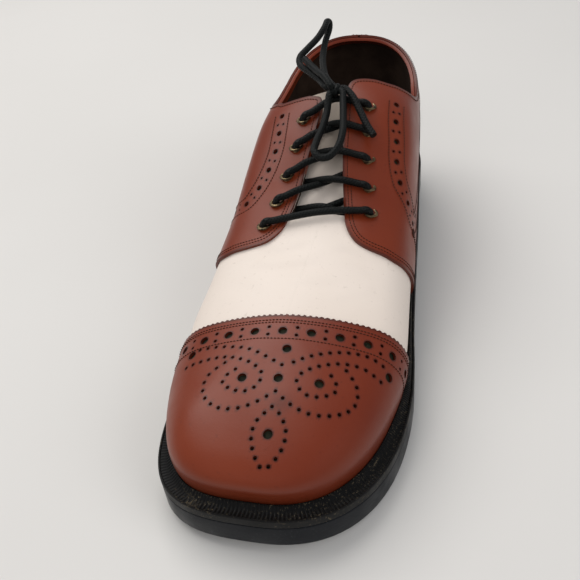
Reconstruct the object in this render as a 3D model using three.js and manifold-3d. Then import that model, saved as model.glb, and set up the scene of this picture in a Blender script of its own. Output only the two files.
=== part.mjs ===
// Spectator shoe for the left foot: straight toe cap, open lacing, storm welt and low heel.
// Lengths are in millimetres. The toe points to -Y, the outer side of the foot to +X, the floor is Z = 0.
import * as THREE from 'three';
import { mergeVertices } from 'three/addons/utils/BufferGeometryUtils.js';
import Module from 'manifold-3d';

const wasm = await Module();
wasm.setup();

// Driving sizes of the bottom
const LENGTH = 305;
const BALL_WIDTH = 112;
const HEEL_WIDTH = 79;
const HEEL_HEIGHT = 13;
const HEEL_LENGTH = 78;
const SOLE_THICKNESS = 12;
const WELT_THICKNESS = 4.5;
const WELT_LEDGE = 8;
const WELT_BEAD = 2.2;
const TOE_SPRING = 6.5;
const INSOLE_COVER = 2.5;

// Driving sizes of the upper
const INSTEP_RISE = 80;
const COLLAR_RISE = 70;
const WALL = 1.8;
const OVERLAY = 1.3;
const CAP_LENGTH = 85;
const THROAT_WIDTH = 26;
const TONGUE_THICKNESS = 2.4;
const TONGUE_WIDTH = 50;

// Driving sizes of the lacing
const EYELET_BORE = 2.3;
const EYELET_WALL = 0.4;
const EYELET_RIM = 3.9;
const EYELET_CROWN = 0.75;
const LACE = 3.5;

// Clearance between neighbouring pieces
const GAP = 0.3;

// Sides of the sole between the toe's arc and the heel's arc. at is the share of the length from the
// toe; inner and outer are shares of a width that changes from the ball's to the heel's as mix grows.
const SOLE_SIDES = [
  { at: 0.27, inner: 0.542, outer: 0.445, mix: 0.0 },
  { at: 0.32, inner: 0.541, outer: 0.436, mix: 0.0 },
  { at: 0.39, inner: 0.536, outer: 0.429, mix: 0.1 },
  { at: 0.47, inner: 0.534, outer: 0.437, mix: 0.3 },
  { at: 0.55, inner: 0.529, outer: 0.450, mix: 0.5 },
  { at: 0.63, inner: 0.523, outer: 0.468, mix: 0.7 },
  { at: 0.71, inner: 0.528, outer: 0.486, mix: 0.9 },
  { at: 0.81, inner: 0.525, outer: 0.477, mix: 1.0 },
];
const TOE_ROUNDNESS = { inner: 3.2, outer: 2.35 };
const HEEL_ROUNDNESS = { inner: 2.4, outer: 2.4 };

// Underside of the sole: the forepart is flat between these shares, the heel starts at the last one.
const TREAD_START = 0.17;
const TREAD_END = 0.39;
const ARCH_END = 0.76;

// Sections of the upper, toe to heel. ridge is its height above the welt as a share of the instep's
// rise, axis the ridge's place as a share of the ball's width. Each side has its ledge (a share of the
// welt's), the belly's bulge (a share of the same), and its shoulder as shares of half width and height.
const FORM = [
  { at: 0.00, ridge: 0.180, axis: -0.053,
    ledge: [1.28, 1.28], belly: [0.16, 0.16], out: [0.88, 0.88], up: [0.80, 0.80] },
  { at: 0.06, ridge: 0.315, axis: -0.053,
    ledge: [1.22, 1.28], belly: [0.22, 0.20], out: [0.84, 0.84], up: [0.79, 0.79] },
  { at: 0.12, ridge: 0.410, axis: -0.053,
    ledge: [1.14, 1.20], belly: [0.30, 0.20], out: [0.81, 0.81], up: [0.77, 0.77] },
  { at: 0.19, ridge: 0.461, axis: -0.053,
    ledge: [0.98, 1.05], belly: [0.38, 0.22], out: [0.79, 0.79], up: [0.77, 0.77] },
  { at: 0.27, ridge: 0.492, axis: -0.053,
    ledge: [0.84, 0.78], belly: [0.42, 0.24], out: [0.80, 0.79], up: [0.78, 0.78] },
  { at: 0.36, ridge: 0.542, axis: -0.035,
    ledge: [0.78, 0.62], belly: [0.48, 0.26], out: [0.83, 0.80], up: [0.80, 0.80] },
  { at: 0.43, ridge: 0.612, axis: -0.010,
    ledge: [0.76, 0.56], belly: [0.52, 0.28], out: [0.87, 0.83], up: [0.82, 0.82] },
  { at: 0.50, ridge: 0.682, axis: 0.010,
    ledge: [0.72, 0.52], belly: [0.54, 0.30], out: [0.90, 0.86], up: [0.83, 0.84] },
  { at: 0.57, ridge: 0.819, axis: 0.020,
    ledge: [0.66, 0.52], belly: [0.52, 0.30], out: [0.93, 0.88], up: [0.82, 0.85] },
  { at: 0.64, ridge: 0.942, axis: 0.020,
    ledge: [0.60, 0.54], belly: [0.46, 0.30], out: [0.95, 0.91], up: [0.81, 0.85] },
  { at: 0.70, ridge: 0.975, axis: 0.015,
    ledge: [0.56, 0.56], belly: [0.40, 0.30], out: [0.95, 0.93], up: [0.80, 0.83] },
  { at: 0.81, ridge: 0.995, axis: -0.027,
    ledge: [0.54, 0.60], belly: [0.34, 0.28], out: [0.94, 0.93], up: [0.80, 0.80] },
  { at: 1.00, ridge: 0.995, axis: -0.027,
    ledge: [1.20, 1.20], belly: [0.30, 0.30], out: [0.93, 0.93], up: [0.80, 0.80] },
];
const BELLY_UP = 0.34;

// Top line of the quarters seen from the side: at is the share of the length, rise the share of the
// collar's rise above the heel seat.
const TOP_LINE = {
  inner: [
    { at: 0.650, rise: 1.40 }, { at: 0.657, rise: 1.01 }, { at: 0.668, rise: 0.94 },
    { at: 0.687, rise: 0.88 }, { at: 0.720, rise: 0.825 }, { at: 0.765, rise: 0.80 },
    { at: 0.815, rise: 0.825 }, { at: 0.870, rise: 0.885 }, { at: 0.920, rise: 0.95 },
    { at: 0.965, rise: 1.0 }, { at: 1.02, rise: 1.02 },
  ],
  outer: [
    { at: 0.690, rise: 1.40 }, { at: 0.697, rise: 1.09 }, { at: 0.705, rise: 1.01 },
    { at: 0.720, rise: 0.92 }, { at: 0.742, rise: 0.85 }, { at: 0.778, rise: 0.805 },
    { at: 0.820, rise: 0.815 }, { at: 0.870, rise: 0.88 }, { at: 0.920, rise: 0.95 },
    { at: 0.965, rise: 1.0 }, { at: 1.02, rise: 1.02 },
  ],
};

// Edges of the facings along the throat, as shares of the throat's width each side of X = 0
const THROAT = [
  { at: 0.440, inner: 0.680, outer: 0.500 },
  { at: 0.475, inner: 0.590, outer: 0.385 },
  { at: 0.510, inner: 0.510, outer: 0.310 },
  { at: 0.560, inner: 0.420, outer: 0.230 },
  { at: 0.620, inner: 0.310, outer: 0.190 },
  { at: 0.642, inner: 0.315, outer: 0.165 },
  { at: 0.650, inner: 0.370, outer: 0.155 },
  { at: 0.660, inner: 0.700, outer: 0.150 },
  { at: 0.683, inner: 1.000, outer: 0.220 },
  { at: 0.693, inner: 1.000, outer: 0.420 },
  { at: 0.703, inner: 1.000, outer: 0.900 },
];
const THROAT_END = 0.466;

// Eyelets, toe to collar: places along the length, and across as shares of the throat's width
const EYELETS = {
  inner: [
    { at: 0.444, across: 1.07 }, { at: 0.486, across: 0.92 }, { at: 0.528, across: 0.80 },
    { at: 0.570, across: 0.69 }, { at: 0.612, across: 0.615 },
  ],
  outer: [
    { at: 0.476, across: 0.85 }, { at: 0.515, across: 0.765 }, { at: 0.554, across: 0.70 },
    { at: 0.593, across: 0.65 }, { at: 0.632, across: 0.61 },
  ],
};

// Front edge of each quarter: place along the length for shares of the way from welt to ridge
const QUARTER_FRONT = {
  inner: [
    { at: -0.1, along: 0.500 }, { at: 0.0, along: 0.480 }, { at: 0.25, along: 0.438 },
    { at: 0.50, along: 0.408 }, { at: 0.60, along: 0.407 }, { at: 0.72, along: 0.409 },
    { at: 0.80, along: 0.416 }, { at: 0.87, along: 0.438 }, { at: 0.93, along: 0.480 },
    { at: 1.0, along: 0.540 },
  ],
  outer: [
    { at: -0.1, along: 0.505 }, { at: 0.0, along: 0.488 }, { at: 0.25, along: 0.452 },
    { at: 0.50, along: 0.427 }, { at: 0.60, along: 0.426 }, { at: 0.72, along: 0.428 },
    { at: 0.80, along: 0.438 }, { at: 0.87, along: 0.460 }, { at: 0.93, along: 0.500 },
    { at: 1.0, along: 0.560 },
  ],
};

// Cap line: it lies further back at the outer side by twice the tilt, and bows to the toe in the middle
const CAP_TILT = 9;
const CAP_BOW = 3;

// Fineness of the curved pieces
const FAN_STEPS = 8;
const SIDE_STEPS = 14;
const WALL_STEPS = 8;

const SIDES = { inner: -1, outer: 1 };
const placeY = (at) => (at - 0.5) * LENGTH;
const shareY = (y) => y / LENGTH + 0.5;
const mix = THREE.MathUtils.lerp;
const FAN_TOE = SOLE_SIDES[0].at;
const FAN_HEEL = SOLE_SIDES[SOLE_SIDES.length - 1].at;

// Share of the ring's walk that each end's fan takes
const TOE_PART = 0.3;
const HEEL_PART = 0.8;
const walkOf = (at) => mix(TOE_PART, HEEL_PART, (at - FAN_TOE) / (FAN_HEEL - FAN_TOE));

// Smooth value between two knots with slopes at both
function hermite(from, to, slopeFrom, slopeTo, t) {
  const t2 = t * t;
  const t3 = t2 * t;
  return (2 * t3 - 3 * t2 + 1) * from + (t3 - 2 * t2 + t) * slopeFrom
    + (3 * t2 - 2 * t3) * to + (t3 - t2) * slopeTo;
}

// Smooth value of one column of a table at a share
function column(rows, read, at) {
  const last = rows.length - 1;
  let i = 0;
  while (i < last - 1 && at > rows[i + 1].at) {
    i += 1;
  }
  const slope = (j) => {
    const before = rows[Math.max(j - 1, 0)];
    const after = rows[Math.min(j + 1, last)];
    return (read(after) - read(before)) / (after.at - before.at);
  };
  const span = rows[i + 1].at - rows[i].at;
  const t = THREE.MathUtils.clamp((at - rows[i].at) / span, 0, 1);
  return hermite(read(rows[i]), read(rows[i + 1]), slope(i) * span, slope(i + 1) * span, t);
}

// Half width of the sole's side
function soleHalf(side, at) {
  const width = mix(BALL_WIDTH, HEEL_WIDTH, column(SOLE_SIDES, (row) => row.mix, at));
  return width * column(SOLE_SIDES, (row) => row[side], at);
}

// Ridge above the welt, and its place across the shoe
const ridgeRise = (at) => INSTEP_RISE * column(FORM, (row) => row.ridge, at);
const ridgeX = (at) => {
  const inside = THREE.MathUtils.clamp(at, FAN_TOE, FAN_HEEL);
  return BALL_WIDTH * column(FORM, (row) => row.axis, inside);
};

// Height of the sole's underside: toe spring, flat tread, arch and heel seat
function underside(y) {
  const at = shareY(y);
  if (at < TREAD_START) {
    return TOE_SPRING * ((TREAD_START - at) / TREAD_START) ** 2;
  }
  return (HEEL_HEIGHT + GAP) * THREE.MathUtils.smoothstep(at, TREAD_END, ARCH_END);
}
const soleTop = (y) => underside(y) + SOLE_THICKNESS;
const weltTop = (y) => soleTop(y) + GAP + WELT_THICKNESS;
const seatHeight = weltTop(LENGTH / 2);

// Point of the sole's outline. walk goes from 0 at the toe to 1 at the heel along one side.
function outline(side, walk) {
  const way = SIDES[side];
  if (walk > TOE_PART && walk < HEEL_PART) {
    const at = mix(FAN_TOE, FAN_HEEL, (walk - TOE_PART) / (HEEL_PART - TOE_PART));
    return { x: way * soleHalf(side, at), y: placeY(at), at };
  }
  const toe = walk <= TOE_PART;
  const from = toe ? FAN_TOE : FAN_HEEL;
  const angle = (Math.PI / 2) * (toe ? walk / TOE_PART : (1 - walk) / (1 - HEEL_PART));
  const roundness = (toe ? TOE_ROUNDNESS : HEEL_ROUNDNESS)[side];
  const half = Math.abs(way * soleHalf(side, from) - ridgeX(from));
  const reach = toe ? from * LENGTH : (1 - from) * LENGTH;
  const [wide, long] = [Math.sin(angle) / half, Math.cos(angle) / reach];
  const radius = (wide ** roundness + long ** roundness) ** (-1 / roundness);
  const y = placeY(from) + (toe ? -1 : 1) * radius * Math.cos(angle);
  return { x: ridgeX(from) + way * radius * Math.sin(angle), y, at: shareY(y) };
}

// The same point moved inwards, square to the outline
function inset(side, walk, distance) {
  const step = 1e-4;
  const here = outline(side, walk);
  const before = outline(side, Math.max(walk - step, 0));
  const after = outline(side, Math.min(walk + step, 1));
  const run = Math.hypot(after.x - before.x, after.y - before.y);
  const way = SIDES[side];
  const inX = -way * (after.y - before.y) / run;
  const inY = way * (after.x - before.x) / run;
  return { x: here.x + distance * inX, y: here.y + distance * inY, at: here.at };
}

// Line where the upper meets the welt
function feather(side, walk, further = 0) {
  const pick = side === 'inner' ? 0 : 1;
  const { at } = outline(side, walk);
  const ledge = WELT_LEDGE * column(FORM, (row) => row.ledge[pick], at);
  return inset(side, walk, ledge + further);
}

// Profile of one section from welt (0) to ridge (1): belly, shoulder and top
const PROFILE_KNOTS = [0, 0.22, 0.55, 1];
function profile(side, at, half, t) {
  const pick = side === 'inner' ? 0 : 1;
  const belly = WELT_LEDGE * column(FORM, (row) => row.belly[pick], at) / half;
  const shoulder = {
    out: column(FORM, (row) => row.out[pick], at),
    up: column(FORM, (row) => row.up[pick], at),
  };
  const knots = [
    { out: 1, up: 0, slopeOut: 2 * belly, slopeUp: BELLY_UP },
    { out: 1 + belly, up: BELLY_UP, slopeOut: 0, slopeUp: shoulder.up * 0.5 },
    { ...shoulder, slopeOut: -0.5 * (1 + belly), slopeUp: 0.5 * (1 - BELLY_UP) },
    { out: 0, up: 1, slopeOut: -shoulder.out, slopeUp: 0 },
  ];
  let i = 0;
  while (i < 2 && t > PROFILE_KNOTS[i + 1]) {
    i += 1;
  }
  const s = (t - PROFILE_KNOTS[i]) / (PROFILE_KNOTS[i + 1] - PROFILE_KNOTS[i]);
  const [from, to] = [knots[i], knots[i + 1]];
  return {
    out: hermite(from.out, to.out, from.slopeOut, to.slopeOut, s),
    up: hermite(from.up, to.up, from.slopeUp, to.slopeUp, s),
  };
}

// Point of the upper's outer surface, before any offset
function skin(side, walk, t) {
  const foot = feather(side, walk);
  const centre = {
    x: ridgeX(foot.at),
    y: placeY(THREE.MathUtils.clamp(foot.at, FAN_TOE, FAN_HEEL)),
  };
  const half = Math.hypot(foot.x - centre.x, foot.y - centre.y);
  const { out, up } = profile(side, foot.at, half, THREE.MathUtils.clamp(t, 0, 1));
  const x = mix(centre.x, foot.x, out);
  const y = mix(centre.y, foot.y, out);
  return new THREE.Vector3(x, y, weltTop(y) + GAP + up * ridgeRise(shareY(y)));
}

// The same point moved outwards along the surface's normal; t below 0 runs down past the welt
const SKIRT = 60;
const UNDER = -0.2;
function form(side, walk, t, offset = 0) {
  const point = skin(side, walk, t);
  const step = 1e-3;
  if (t > 1 - step) {
    const rise = skin(side, walk, 1).z;
    const y = point.y;
    const ahead = weltTop(y + 1) + ridgeRise(shareY(y + 1)) - weltTop(y - 1) - ridgeRise(shareY(y - 1));
    const normal = new THREE.Vector3(0, -ahead / 2, 1).normalize();
    return new THREE.Vector3(point.x, y, rise).addScaledVector(normal, offset);
  }
  const low = Math.max(t, 0);
  const [walkFrom, walkTo] = [Math.max(walk - step, 0), Math.min(walk + step, 1)];
  const alongWalk = skin(side, walkTo, low).sub(skin(side, walkFrom, low));
  const alongWall = skin(side, walk, low + step).sub(skin(side, walk, Math.max(low - step, 0)));
  const normal = alongWalk.cross(alongWall).multiplyScalar(SIDES[side]).normalize();
  point.addScaledVector(normal, offset);
  point.z += Math.min(t, 0) * SKIRT;
  return point;
}

// Stations of a ring round the shoe: heel, inner side, toe, outer side
const WALKS = [];
for (let i = 0; i < FAN_STEPS; i += 1) {
  WALKS.push(TOE_PART * i / FAN_STEPS);
}
for (let i = 0; i < SIDE_STEPS; i += 1) {
  WALKS.push(mix(TOE_PART, HEEL_PART, i / SIDE_STEPS));
}
for (let i = 0; i < FAN_STEPS; i += 1) {
  WALKS.push(mix(HEEL_PART, 1, i / FAN_STEPS));
}
const RING = [
  ...[...WALKS, 1].reverse().map((walk) => ({ side: 'inner', walk })),
  ...[...WALKS].slice(1).map((walk) => ({ side: 'outer', walk })),
];

// Closed geometry from points and triangles, turned so that its faces point out
function closed(points, faces) {
  const geometry = new THREE.BufferGeometry();
  const positions = points.flatMap((p) => [p.x, p.y, p.z]);
  geometry.setAttribute('position', new THREE.Float32BufferAttribute(positions, 3));
  geometry.setIndex(faces.flat());
  return geometry;
}

function volume(positions, index) {
  const corner = (i) => new THREE.Vector3().fromArray(positions, 3 * i);
  let sum = 0;
  for (let i = 0; i < index.length; i += 3) {
    sum += corner(index[i]).dot(corner(index[i + 1]).cross(corner(index[i + 2])));
  }
  return sum / 6;
}

// Solid of a closed geometry, its shared corners merged
function solid(geometry) {
  const bare = geometry.clone();
  bare.deleteAttribute('normal');
  bare.deleteAttribute('uv');
  const merged = mergeVertices(bare, 1e-4);
  const positions = merged.attributes.position.array;
  const kept = [];
  const index = merged.index.array;
  for (let i = 0; i < index.length; i += 3) {
    const [a, b, c] = [index[i], index[i + 1], index[i + 2]];
    if (a !== b && b !== c && c !== a) {
      kept.push(a, b, c);
    }
  }
  if (volume(positions, kept) < 0) {
    kept.reverse();
  }
  return new wasm.Manifold(new wasm.Mesh({
    numProp: 3,
    vertProperties: new Float32Array(positions),
    triVerts: new Uint32Array(kept),
  }));
}

// Geometry of a solid
function geometryOf(body) {
  const mesh = body.getMesh();
  const geometry = new THREE.BufferGeometry();
  geometry.setAttribute('position', new THREE.Float32BufferAttribute(mesh.vertProperties, 3));
  geometry.setIndex([...mesh.triVerts]);
  geometry.computeVertexNormals();
  return geometry;
}

// Band of faces between each ring and the next
function bands(rings, around = false) {
  const count = rings[0].length;
  const faces = [];
  const last = around ? rings.length : rings.length - 1;
  for (let j = 0; j < last; j += 1) {
    const next = (j + 1) % rings.length;
    for (let k = 0; k < count; k += 1) {
      const right = (k + 1) % count;
      faces.push([j * count + k, j * count + right, next * count + right]);
      faces.push([j * count + k, next * count + right, next * count + k]);
    }
  }
  return faces;
}

// Lid of a ring, in strips from the inner side to the outer side
function lid(start, count, down) {
  const faces = [];
  for (let k = 0; k < count / 2; k += 1) {
    const across = (count - k) % count;
    const corners = [start + k, start + k + 1, start + count - k - 1, start + across];
    faces.push([corners[0], corners[1], corners[2]], [corners[0], corners[2], corners[3]]);
  }
  return down ? faces.map((face) => [...face].reverse()) : faces;
}

// Solid between stacked rings, lidded below and above
function stack(rings) {
  const count = rings[0].length;
  const faces = [...bands(rings), ...lid(0, count, true), ...lid((rings.length - 1) * count, count, false)];
  return solid(closed(rings.flat(), faces));
}

// Solid of a ring-shaped strip whose section is closed
const hoop = (rings) => solid(closed(rings.flat(), bands(rings, true)));

// Solid between an upper and a lower sheet over the same grid
function slab(columns, rows, upper, lower) {
  const points = [];
  for (const sheet of [lower, upper]) {
    for (let j = 0; j <= rows; j += 1) {
      for (let i = 0; i <= columns; i += 1) {
        points.push(sheet(i / columns, j / rows));
      }
    }
  }
  const wide = columns + 1;
  const half = wide * (rows + 1);
  const faces = [];
  const quad = (a, b, c, d) => faces.push([a, b, c], [a, c, d]);
  for (let j = 0; j < rows; j += 1) {
    for (let i = 0; i < columns; i += 1) {
      const a = j * wide + i;
      quad(a, a + wide, a + wide + 1, a + 1);
      quad(half + a, half + a + 1, half + a + wide + 1, half + a + wide);
    }
  }
  for (let i = 0; i < columns; i += 1) {
    quad(i, i + 1, half + i + 1, half + i);
    const far = rows * wide + i;
    quad(far + 1, far, half + far, half + far + 1);
  }
  for (let j = 0; j < rows; j += 1) {
    const near = j * wide;
    quad(near + wide, near, half + near, half + near + wide);
    const right = near + columns;
    quad(right, right + wide, half + right + wide, half + right);
  }
  return solid(closed(points, faces));
}

// Upright prism of a plan outline
function prism(points, low, high) {
  const plan = new THREE.Shape(points);
  const geometry = new THREE.ExtrudeGeometry(plan, { depth: high - low, bevelEnabled: false });
  return solid(geometry.translate(0, 0, low));
}

// Ring of the sole at an inset and a height
const soleRing = (distance, height) => RING.map(({ side, walk }) => {
  const p = inset(side, walk, distance);
  return new THREE.Vector3(p.x, p.y, height(p.y));
});

// Ring measured from the line where the upper stands
const featherRing = (distance, height) => RING.map(({ side, walk }) => {
  const p = feather(side, walk, distance);
  return new THREE.Vector3(p.x, p.y, height(p.y));
});

// Body of the upper's form at an offset; deep runs it down past the welt
function formBody(offset, deep) {
  const steps = Array.from({ length: WALL_STEPS + 1 }, (_, j) => j / WALL_STEPS);
  if (deep) {
    steps.unshift(UNDER);
  }
  const rings = steps.map((t) => RING.map(({ side, walk }) => form(side, walk, t, offset)));
  const count = RING.length;
  return solid(closed(rings.flat(), [...bands(rings), ...lid(0, count, true)]));
}

// Outsole with rounded edges
const EDGE_ROUND = 1;
const outsole = stack([
  soleRing(EDGE_ROUND, underside),
  soleRing(0, (y) => underside(y) + EDGE_ROUND),
  soleRing(0, (y) => soleTop(y) - EDGE_ROUND),
  soleRing(EDGE_ROUND, soleTop),
]);

// Heel block under the seat, its front face a shallow curve
const HEEL_TAPER = 1.6;
const HEEL_FRONT_BOW = 5;
const HEEL_STEPS = 14;
const BREAST_STEPS = 6;
const HEEL_SEARCH = 0.002;
function heelRing(distance, height) {
  const breast = LENGTH / 2 - HEEL_LENGTH;
  const side = (name) => {
    const points = [];
    let start = HEEL_PART;
    while (outline(name, start).y > breast && start > TOE_PART) {
      start -= HEEL_SEARCH;
    }
    for (let i = 0; i <= HEEL_STEPS; i += 1) {
      const p = inset(name, mix(start, 1, i / HEEL_STEPS), distance);
      points.push(new THREE.Vector3(p.x, p.y, height));
    }
    return points;
  };
  const outer = side('outer');
  const inner = side('inner').reverse().slice(1);
  const [from, to] = [inner[inner.length - 1], outer[0]];
  const front = [];
  for (let i = 1; i < BREAST_STEPS; i += 1) {
    const t = i / BREAST_STEPS;
    const back = HEEL_FRONT_BOW * 4 * t * (1 - t);
    front.push(new THREE.Vector3(mix(from.x, to.x, t), mix(from.y, to.y, t) + back, height));
  }
  return [...outer, ...inner, ...front];
}
function flatStack(rings) {
  const count = rings[0].length;
  const plan = (ring) => ring.map((p) => new THREE.Vector2(p.x, p.y));
  const flat = (ring) => THREE.ShapeUtils.triangulateShape(plan(ring), []);
  const low = flat(rings[0]).map((face) => [...face].reverse());
  const high = flat(rings[rings.length - 1]).map((face) => face.map((i) => i + (rings.length - 1) * count));
  return solid(closed(rings.flat(), [...bands(rings), ...low, ...high]));
}
const heel = flatStack([
  heelRing(HEEL_TAPER + EDGE_ROUND, 0),
  heelRing(HEEL_TAPER, EDGE_ROUND),
  heelRing(EDGE_ROUND / 2, HEEL_HEIGHT - EDGE_ROUND),
  heelRing(EDGE_ROUND, HEEL_HEIGHT),
]);

// Insole on the sole, inside the welt and the upper's wall
const insole = stack([
  featherRing(WALL + 2 * GAP, (y) => soleTop(y) + GAP),
  featherRing(WALL + 2 * GAP, (y) => weltTop(y) + INSOLE_COVER),
]);

// Bodies of the form that the upper and its overlays are cut from
const outerForm = formBody(0, false);
const innerForm = formBody(-WALL, true);
const overlayShell = formBody(GAP + OVERLAY, false).subtract(formBody(GAP, true));

// Opening of the collar, one side view for each side of the throat
const WIDE = BALL_WIDTH;
const HIGH = LENGTH;
const SHARED = 0.01;
function collarOpening(side) {
  const points = TOP_LINE[side].map(({ at, rise }) => (
    new THREE.Vector2(placeY(at), seatHeight + COLLAR_RISE * rise)
  ));
  const shape = new THREE.Shape();
  shape.moveTo(points[0].x, HIGH);
  shape.lineTo(points[0].x, points[0].y);
  shape.splineThru(points.slice(1));
  shape.lineTo(points[points.length - 1].x, HIGH);
  const geometry = new THREE.ExtrudeGeometry(shape, { depth: WIDE, bevelEnabled: false, curveSegments: 3 });
  const turn = new THREE.Matrix4().makeBasis(
    new THREE.Vector3(0, 1, 0),
    new THREE.Vector3(0, 0, 1),
    new THREE.Vector3(1, 0, 0),
  );
  geometry.applyMatrix4(turn);
  geometry.translate(side === 'inner' ? -WIDE : -SHARED, 0, 0);
  return solid(geometry);
}
const collar = collarOpening('inner').add(collarOpening('outer'));

// Throat between the facings, from a front end to the collar
const edgeAt = (side, at) => SIDES[side] * column(THROAT, (row) => row[side], at);
function throat(front) {
  const steps = 18;
  const first = THROAT[0].at;
  const last = THROAT[THROAT.length - 1].at;
  const edge = (side) => Array.from({ length: steps + 1 }, (_, i) => {
    const at = mix(Math.max(front, first), last, i / steps);
    return new THREE.Vector2(THROAT_WIDTH * edgeAt(side, at), placeY(at));
  });
  const inner = edge('inner');
  const outer = edge('outer');
  const lead = front < first
    ? [new THREE.Vector2(inner[0].x, placeY(front)), new THREE.Vector2(outer[0].x, placeY(front))]
    : [];
  return prism([...inner.reverse(), ...lead, ...outer], 0, HIGH);
}
const openThroat = throat(THROAT_END);

// Toe cap, cut from the overlay shell by a slightly bowed and tilted line
function capRegion() {
  const steps = 12;
  const line = Array.from({ length: steps + 1 }, (_, i) => {
    const across = i / steps * 2 - 1;
    const bow = CAP_BOW * (1 - across * across);
    return new THREE.Vector2(across * BALL_WIDTH, -LENGTH / 2 + CAP_LENGTH + across * CAP_TILT - bow);
  });
  const ahead = [BALL_WIDTH, -BALL_WIDTH].map((x) => new THREE.Vector2(x, -LENGTH));
  return prism([ahead[0], ...line.reverse(), ahead[1]], -HIGH, HIGH);
}
const toeCap = overlayShell.intersect(capRegion());

// Region of one quarter, from its front edge to the back seam
const REGION_DEPTH = 6;
const REGION_COLUMNS = 16;
const REGION_ROWS = 22;
function quarterRegion(side) {
  const rows = QUARTER_FRONT[side];
  const sheet = (offset) => (u, v) => {
    const t = mix(rows[0].at, 1, v);
    const start = walkOf(column(rows, (row) => row.along, t));
    return form(side, mix(start, 1, u), t, offset);
  };
  return slab(REGION_COLUMNS, REGION_ROWS, sheet(REGION_DEPTH), sheet(-REGION_DEPTH));
}
const backSeam = prism([
  new THREE.Vector2(ridgeX(1) - GAP / 2, 0),
  new THREE.Vector2(ridgeX(1) + GAP / 2, 0),
  new THREE.Vector2(ridgeX(1) + GAP / 2, LENGTH),
  new THREE.Vector2(ridgeX(1) - GAP / 2, LENGTH),
], -HIGH, HIGH);
const wholeThroat = throat(TREAD_START);
const quarter = (side) => overlayShell.intersect(quarterRegion(side)).subtract(collar)
  .subtract(wholeThroat).subtract(backSeam);

// Welt: a flat edge outside, and a raised bead cut to the upper's wall
const BEAD_START = 3.1;
const besideWall = GAP + OVERLAY + GAP;
const weltBlank = hoop([
  soleRing(0, (y) => soleTop(y) + GAP),
  soleRing(0, (y) => weltTop(y) - EDGE_ROUND),
  soleRing(EDGE_ROUND, weltTop),
  featherRing(-BEAD_START - WELT_BEAD, weltTop),
  featherRing(-BEAD_START, (y) => weltTop(y) + WELT_BEAD),
  featherRing(0, (y) => weltTop(y) + WELT_BEAD),
  featherRing(WALL, weltTop),
  featherRing(WALL, (y) => soleTop(y) + GAP),
]);
const welt = weltBlank.subtract(formBody(besideWall, false));

// Point over the shoe's top: share of the length, x as a share of the throat's width, height
function over(at, across, height) {
  const x = THROAT_WIDTH * across;
  const side = x < ridgeX(at) ? 'inner' : 'outer';
  const walk = walkOf(at);
  return form(side, walk, topShare(side, walk, Math.abs(x - ridgeX(at))), height);
}

// Share of the profile at which the skin lies a given distance from the ridge, across the shoe
const HALVINGS = 30;
function topShare(side, walk, distance) {
  const centre = ridgeX(outline(side, walk).at);
  let [low, high] = [PROFILE_KNOTS[1], 1];
  for (let i = 0; i < HALVINGS; i += 1) {
    const t = (low + high) / 2;
    if (Math.abs(skin(side, walk, t).x - centre) > distance) {
      low = t;
    } else {
      high = t;
    }
  }
  return (low + high) / 2;
}

// Depth of the laces under the facings, and of the tongue under the laces
const LACE_DEPTH = WALL + 2 * GAP + LACE / 2;
const TONGUE_DEPTH = LACE_DEPTH + LACE / 2 + GAP;
const TONGUE = { front: 0.385, back: 0.695, sinkEnd: 0.440, cornerFrom: 0.875, corner: 0.12 };
function tongueSheet(depth) {
  return (u, v) => {
    const at = mix(TONGUE.front, TONGUE.back, u);
    const walk = walkOf(at);
    const across = 2 * v - 1;
    const side = across < 0 ? 'inner' : 'outer';
    const late = Math.max(0, u - TONGUE.cornerFrom) / (1 - TONGUE.cornerFrom);
    const reach = TONGUE_WIDTH / 2 * (1 - TONGUE.corner * late ** 2);
    const t = topShare(side, walk, Math.abs(across) * reach);
    const sunk = THREE.MathUtils.smoothstep(at, TONGUE.front, TONGUE.sinkEnd);
    const sink = mix(WALL + GAP, TONGUE_DEPTH, sunk);
    return form(side, walk, t, -sink - depth);
  };
}
const TONGUE_COLUMNS = 12;
const TONGUE_ROWS = 6;
const tongue = slab(TONGUE_COLUMNS, TONGUE_ROWS, tongueSheet(0), tongueSheet(TONGUE_THICKNESS));

// Eyelets: a barrel through facing and upper, and a crowned rim on the facing
const EYELET_SIDES = 9;
const HOLE_SIDES = 8;
const FACING_TOP = GAP + OVERLAY;
const RIM_SEAT = FACING_TOP + 1.4 * GAP;
const RIM_TOP = RIM_SEAT + EYELET_CROWN;
const BARREL_END = -WALL - GAP / 2;
const upright = new THREE.Vector3(0, 1, 0);
function onFacing(side, row, body) {
  const low = over(row.at, SIDES[side] * row.across, 0);
  const out = over(row.at, SIDES[side] * row.across, 1).sub(low);
  const place = new THREE.Matrix4().makeRotationFromQuaternion(
    new THREE.Quaternion().setFromUnitVectors(upright, out.normalize()),
  );
  return solid(body.clone().applyMatrix4(place.setPosition(low)));
}
const outerRadius = EYELET_BORE + EYELET_WALL;
const eyeletProfile = [
  [EYELET_BORE, BARREL_END],
  [outerRadius, BARREL_END],
  [outerRadius, RIM_SEAT],
  [EYELET_RIM, RIM_SEAT],
  [EYELET_BORE, RIM_TOP],
  [EYELET_BORE, BARREL_END],
].map(([r, h]) => new THREE.Vector2(r, h));
const eyeletShape = new THREE.LatheGeometry(eyeletProfile, EYELET_SIDES);
const holeRadius = (outerRadius + GAP) / Math.cos(Math.PI / HOLE_SIDES);
const holeShape = new THREE.CylinderGeometry(holeRadius, holeRadius, 2 * REGION_DEPTH, HOLE_SIDES);
const eyelets = {};
const holes = {};
for (const side of Object.keys(EYELETS)) {
  eyelets[side] = EYELETS[side].map((row) => onFacing(side, row, eyeletShape));
  holes[side] = EYELETS[side].map((row) => onFacing(side, row, holeShape))
    .reduce((all, hole) => all.add(hole));
}

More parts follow.
